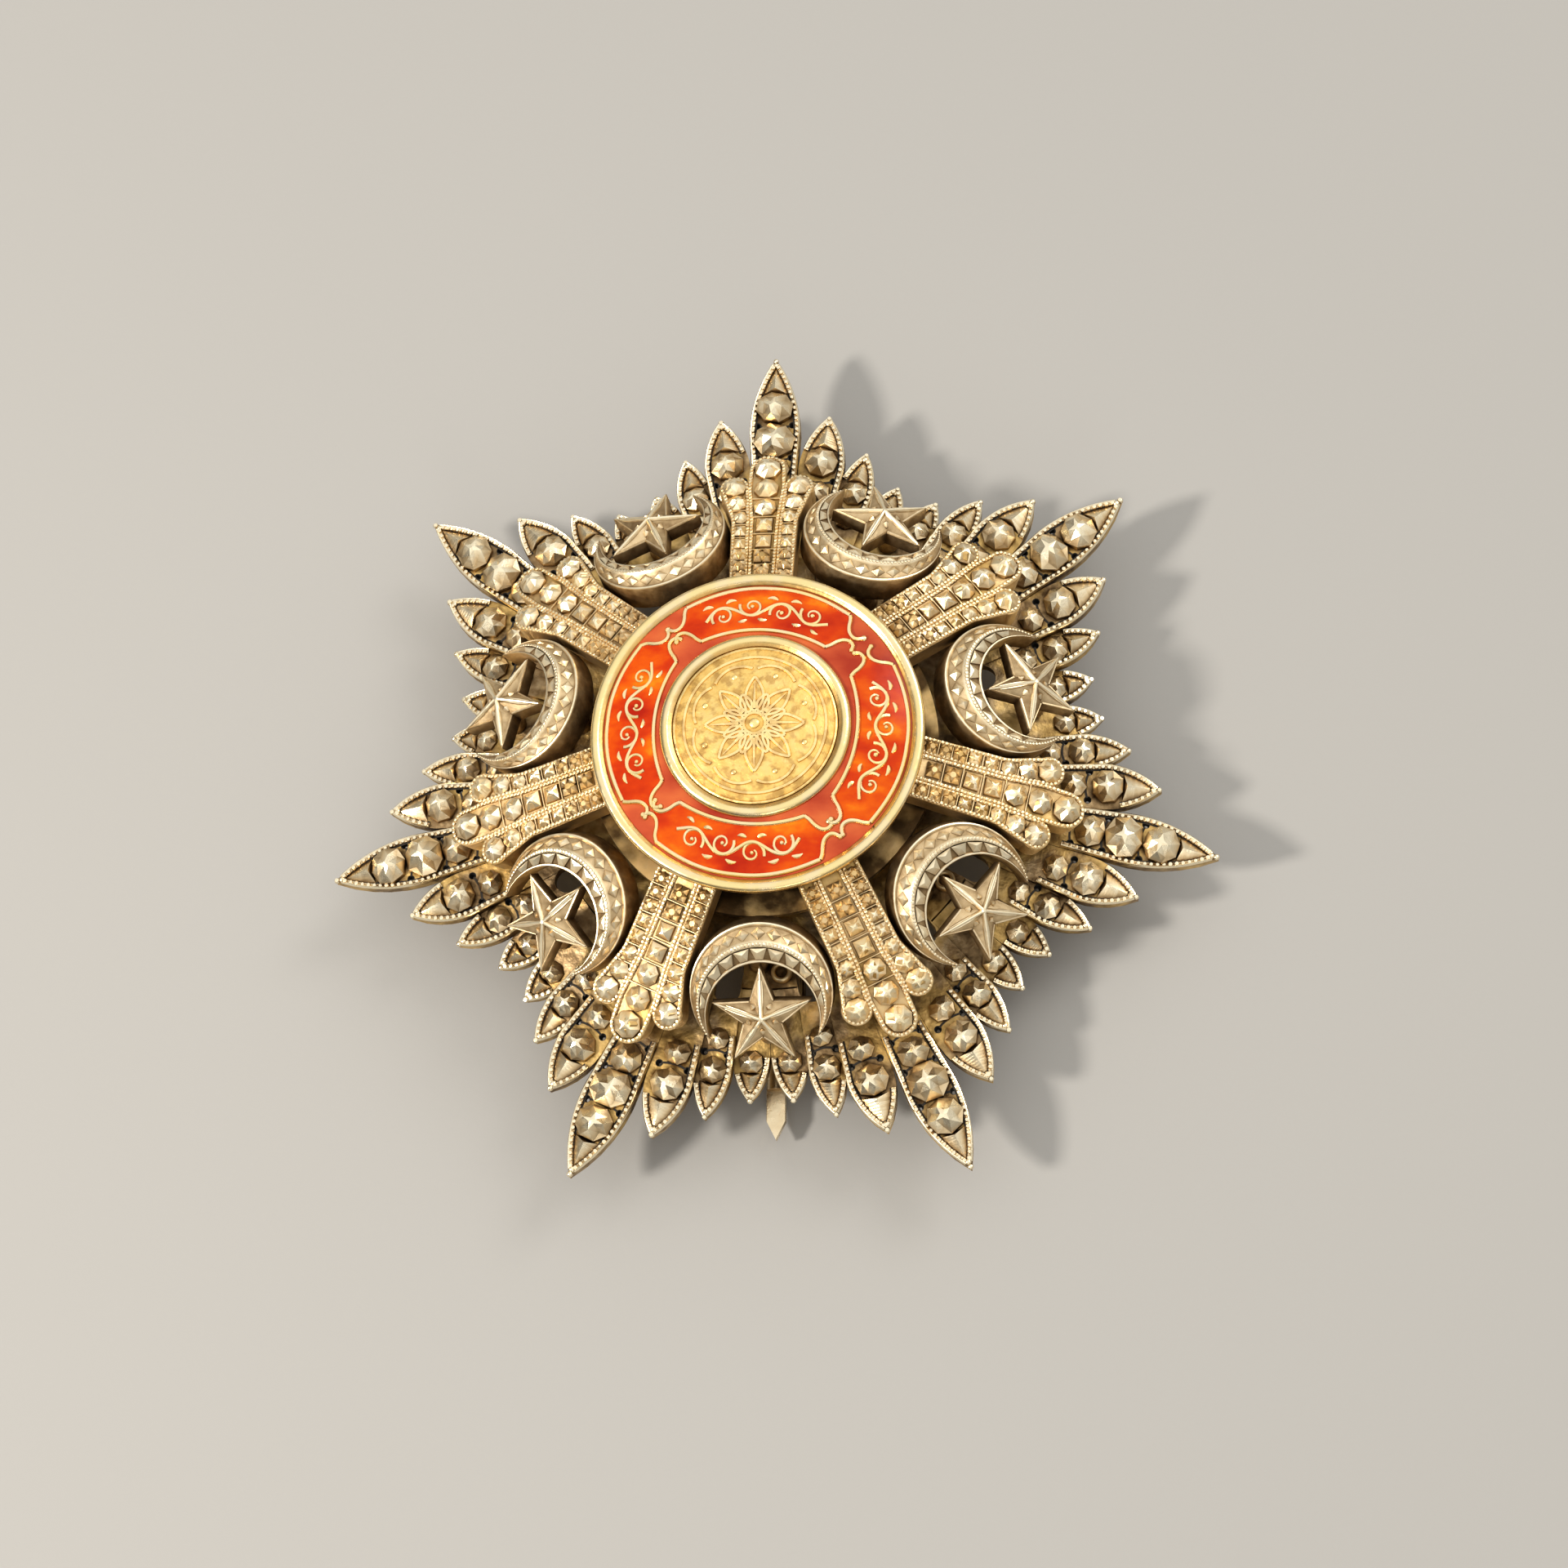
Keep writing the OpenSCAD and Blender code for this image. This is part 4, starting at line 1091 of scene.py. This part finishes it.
disc = Shape()
profile = [(0.001, dome(0) - 0.6), (7.98, dome(7.98) - 0.5), (7.98, dome(7.98) - 0.02),
           (7.9, dome(7.9) + 0.03), (7.78, dome(7.78) + 0.02), (7.66, dome(7.66) - 0.1)]
profile += [(r, dome(r) - 0.1) for r in (7, 6, 5, 4, 3, 2, 1, 0.001)]
# Disc shades: a bright edge line as painted highlight, darker at its foot as painted shade.
lathe(disc, profile, [0.3, 0.2, 0.6, 0.95, 0.9, 0.5] + [0.62] * 8, steps=160)

# Rosette of eight long and eight short petals, drawn in raised lines, whose shades paint shade at their feet
# and highlights on their tops
LINE = [(-0.19, -0.06), (-0.12, 0.1), (0.12, 0.1), (0.19, -0.06)]
PETALS = ((3.6, 0.95, 0), (2.0, 0.6, 22.5))
SUNK = -0.1
for j in range(8):
    for length, wide, turn in PETALS:
        for hand in (-1, 1):
            path = []
            for q in range(15):
                f = q / 14
                x = hand * wide * math.sin(math.pi * f) ** 0.8 * (1.1 - 0.4 * f)
                y = 1.2 + length * f
                r = math.hypot(x, y)
                path.append(tuple(polar(j * 45 + turn + math.degrees(math.atan2(x, y)), r, SUNK)))
            sweep(disc, path, LINE, [0.4, 1.1, 1.1, 0.4])
    path = [tuple(polar(j * 45, r, SUNK)) for r in (1.5, 2.5, 3.5, 4.3)]
    sweep(disc, path, LINE, [0.4, 0.95, 0.95, 0.4], scale=[1.4, 1, 0.8, 0.3])
    bead(disc, polar(j * 45 + 22.5, 5.2, SUNK), 0.3, 0.14)
    arc = [tuple(polar(j * 45 + 22.5 + a, 6.2 - 0.5 * (a / 20) ** 2, SUNK)) for a in range(-20, 21, 4)]
    sweep(disc, arc, LINE, [0.4, 0.9, 0.9, 0.4])
for r in (1.05, 6.9):
    circle = [tuple(polar(a, r, SUNK)) for a in range(0, 360, 4)]
    sweep(disc, circle, LINE, [0.4, 0.9, 0.9, 0.4], closed=True)
beads(disc, [polar(0, 0.01, SUNK), polar(180, 0.01, SUNK)], 1, 0.6, 0.2)
disc.piece("disc_rosette", gold_dull, ["centre_disc"], sharp=40)


# Finishes of the plain solids that stay in view, which are the plate, pin, collar and arms

FINISHES = {"base_star": plate, "brooch_pin": pin_metal, "collar": collar_metal}
for name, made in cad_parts.items():
    finish = gilt_body if name.startswith("arm_") else FINISHES.get(name)
    if finish:
        made.data.materials.clear()
        made.data.materials.append(finish)


# Floor, light and camera

FLOOR_HALF = 1.5
FLOOR_Z = -0.00802

corners = [(x * FLOOR_HALF, y * FLOOR_HALF, FLOOR_Z) for x, y in ((-1, -1), (1, -1), (1, 1), (-1, 1))]
mesh = bpy.data.meshes.new("floor")
mesh.from_pydata(corners, [], [(0, 1, 2, 3)])
floor = bpy.data.objects.new("floor", mesh)
bpy.context.collection.objects.link(floor)
paper, tree, shader = start("pale_paper")
shader.inputs["Base Color"].default_value = (0.4, 0.39, 0.37, 1)
shader.inputs["Roughness"].default_value = 0.8
bump(tree, shader, noise(tree, 900, 4), 0.1, 0.0002)
floor.data.materials.append(paper)

world = bpy.data.worlds.new("studio")
bpy.context.scene.world = world
world.use_nodes = True
tree = world.node_tree
coords = tree.nodes.new("ShaderNodeTexCoord")
towards = tree.nodes.new("ShaderNodeVectorMath")
towards.operation = "DOT_PRODUCT"
towards.inputs[1].default_value = Vector((0.26, 0.24, 0.93)).normalized()
tree.links.new(coords.outputs["Generated"], towards.inputs[0])
sky = ramp(tree.nodes, [(0.0, (0.13, 0.12, 0.11)), (0.4, (0.42, 0.4, 0.37)), (0.75, (0.92, 0.9, 0.86)),
                        (1.0, (1.0, 0.98, 0.94))])
tree.links.new(towards.outputs["Value"], sky.inputs[0])
tree.links.new(sky.outputs[0], tree.nodes["Background"].inputs[0])
tree.nodes["Background"].inputs[1].default_value = 1.05


def lamp(name, away, size, power, colour):
    """A round soft lamp that points at the middle of the star."""
    data = bpy.data.lights.new(name, "AREA")
    data.shape = "DISK"
    data.size = size
    data.energy = power
    data.color = colour
    made = bpy.data.objects.new(name, data)
    bpy.context.collection.objects.link(made)
    made.location = away
    made.rotation_mode = "QUATERNION"
    made.rotation_quaternion = (-Vector(away)).to_track_quat("-Z", "Y")


lamp("key", (-0.42, -0.16, 0.44), 0.085, 3.1, (1, 0.94, 0.86))
lamp("fill", (0.4, 0.34, 0.5), 0.3, 1.3, (1, 0.97, 0.93))
lamp("front", (0.1, -0.6, 0.35), 0.25, 0.36, (1, 0.96, 0.9))

# Camera: angles in degrees, target in millimetres, distance in metres, focal length in pixels of the photo
AZIMUTH = 18.96
ELEVATION = 70.32
ROLL = -19.6
TARGET = (1.17, -1.17, 0)
DISTANCE = 0.3993
FOCAL = 4928
PHOTO_WIDTH = 1920
back = Vector((sin(AZIMUTH) * cos(ELEVATION), -cos(AZIMUTH) * cos(ELEVATION), sin(ELEVATION)))
right = Vector((cos(AZIMUTH), sin(AZIMUTH), 0))
up = back.cross(right)
camera_right = right * cos(ROLL) + up * sin(ROLL)
camera_up = up * cos(ROLL) - right * sin(ROLL)
camera_data = bpy.data.cameras.new("photo_view")
camera_data.sensor_width = 36
camera_data.lens = camera_data.sensor_width * FOCAL / PHOTO_WIDTH
camera_data.clip_start = 0.01
camera = bpy.data.objects.new("photo_view", camera_data)
bpy.context.collection.objects.link(camera)
view = Matrix((camera_right, camera_up, back)).transposed().to_4x4()
view.translation = Vector(TARGET) * 0.001 + back * DISTANCE
camera.matrix_world = view
bpy.context.scene.camera = camera
bpy.context.scene.view_settings.view_transform = "Standard"
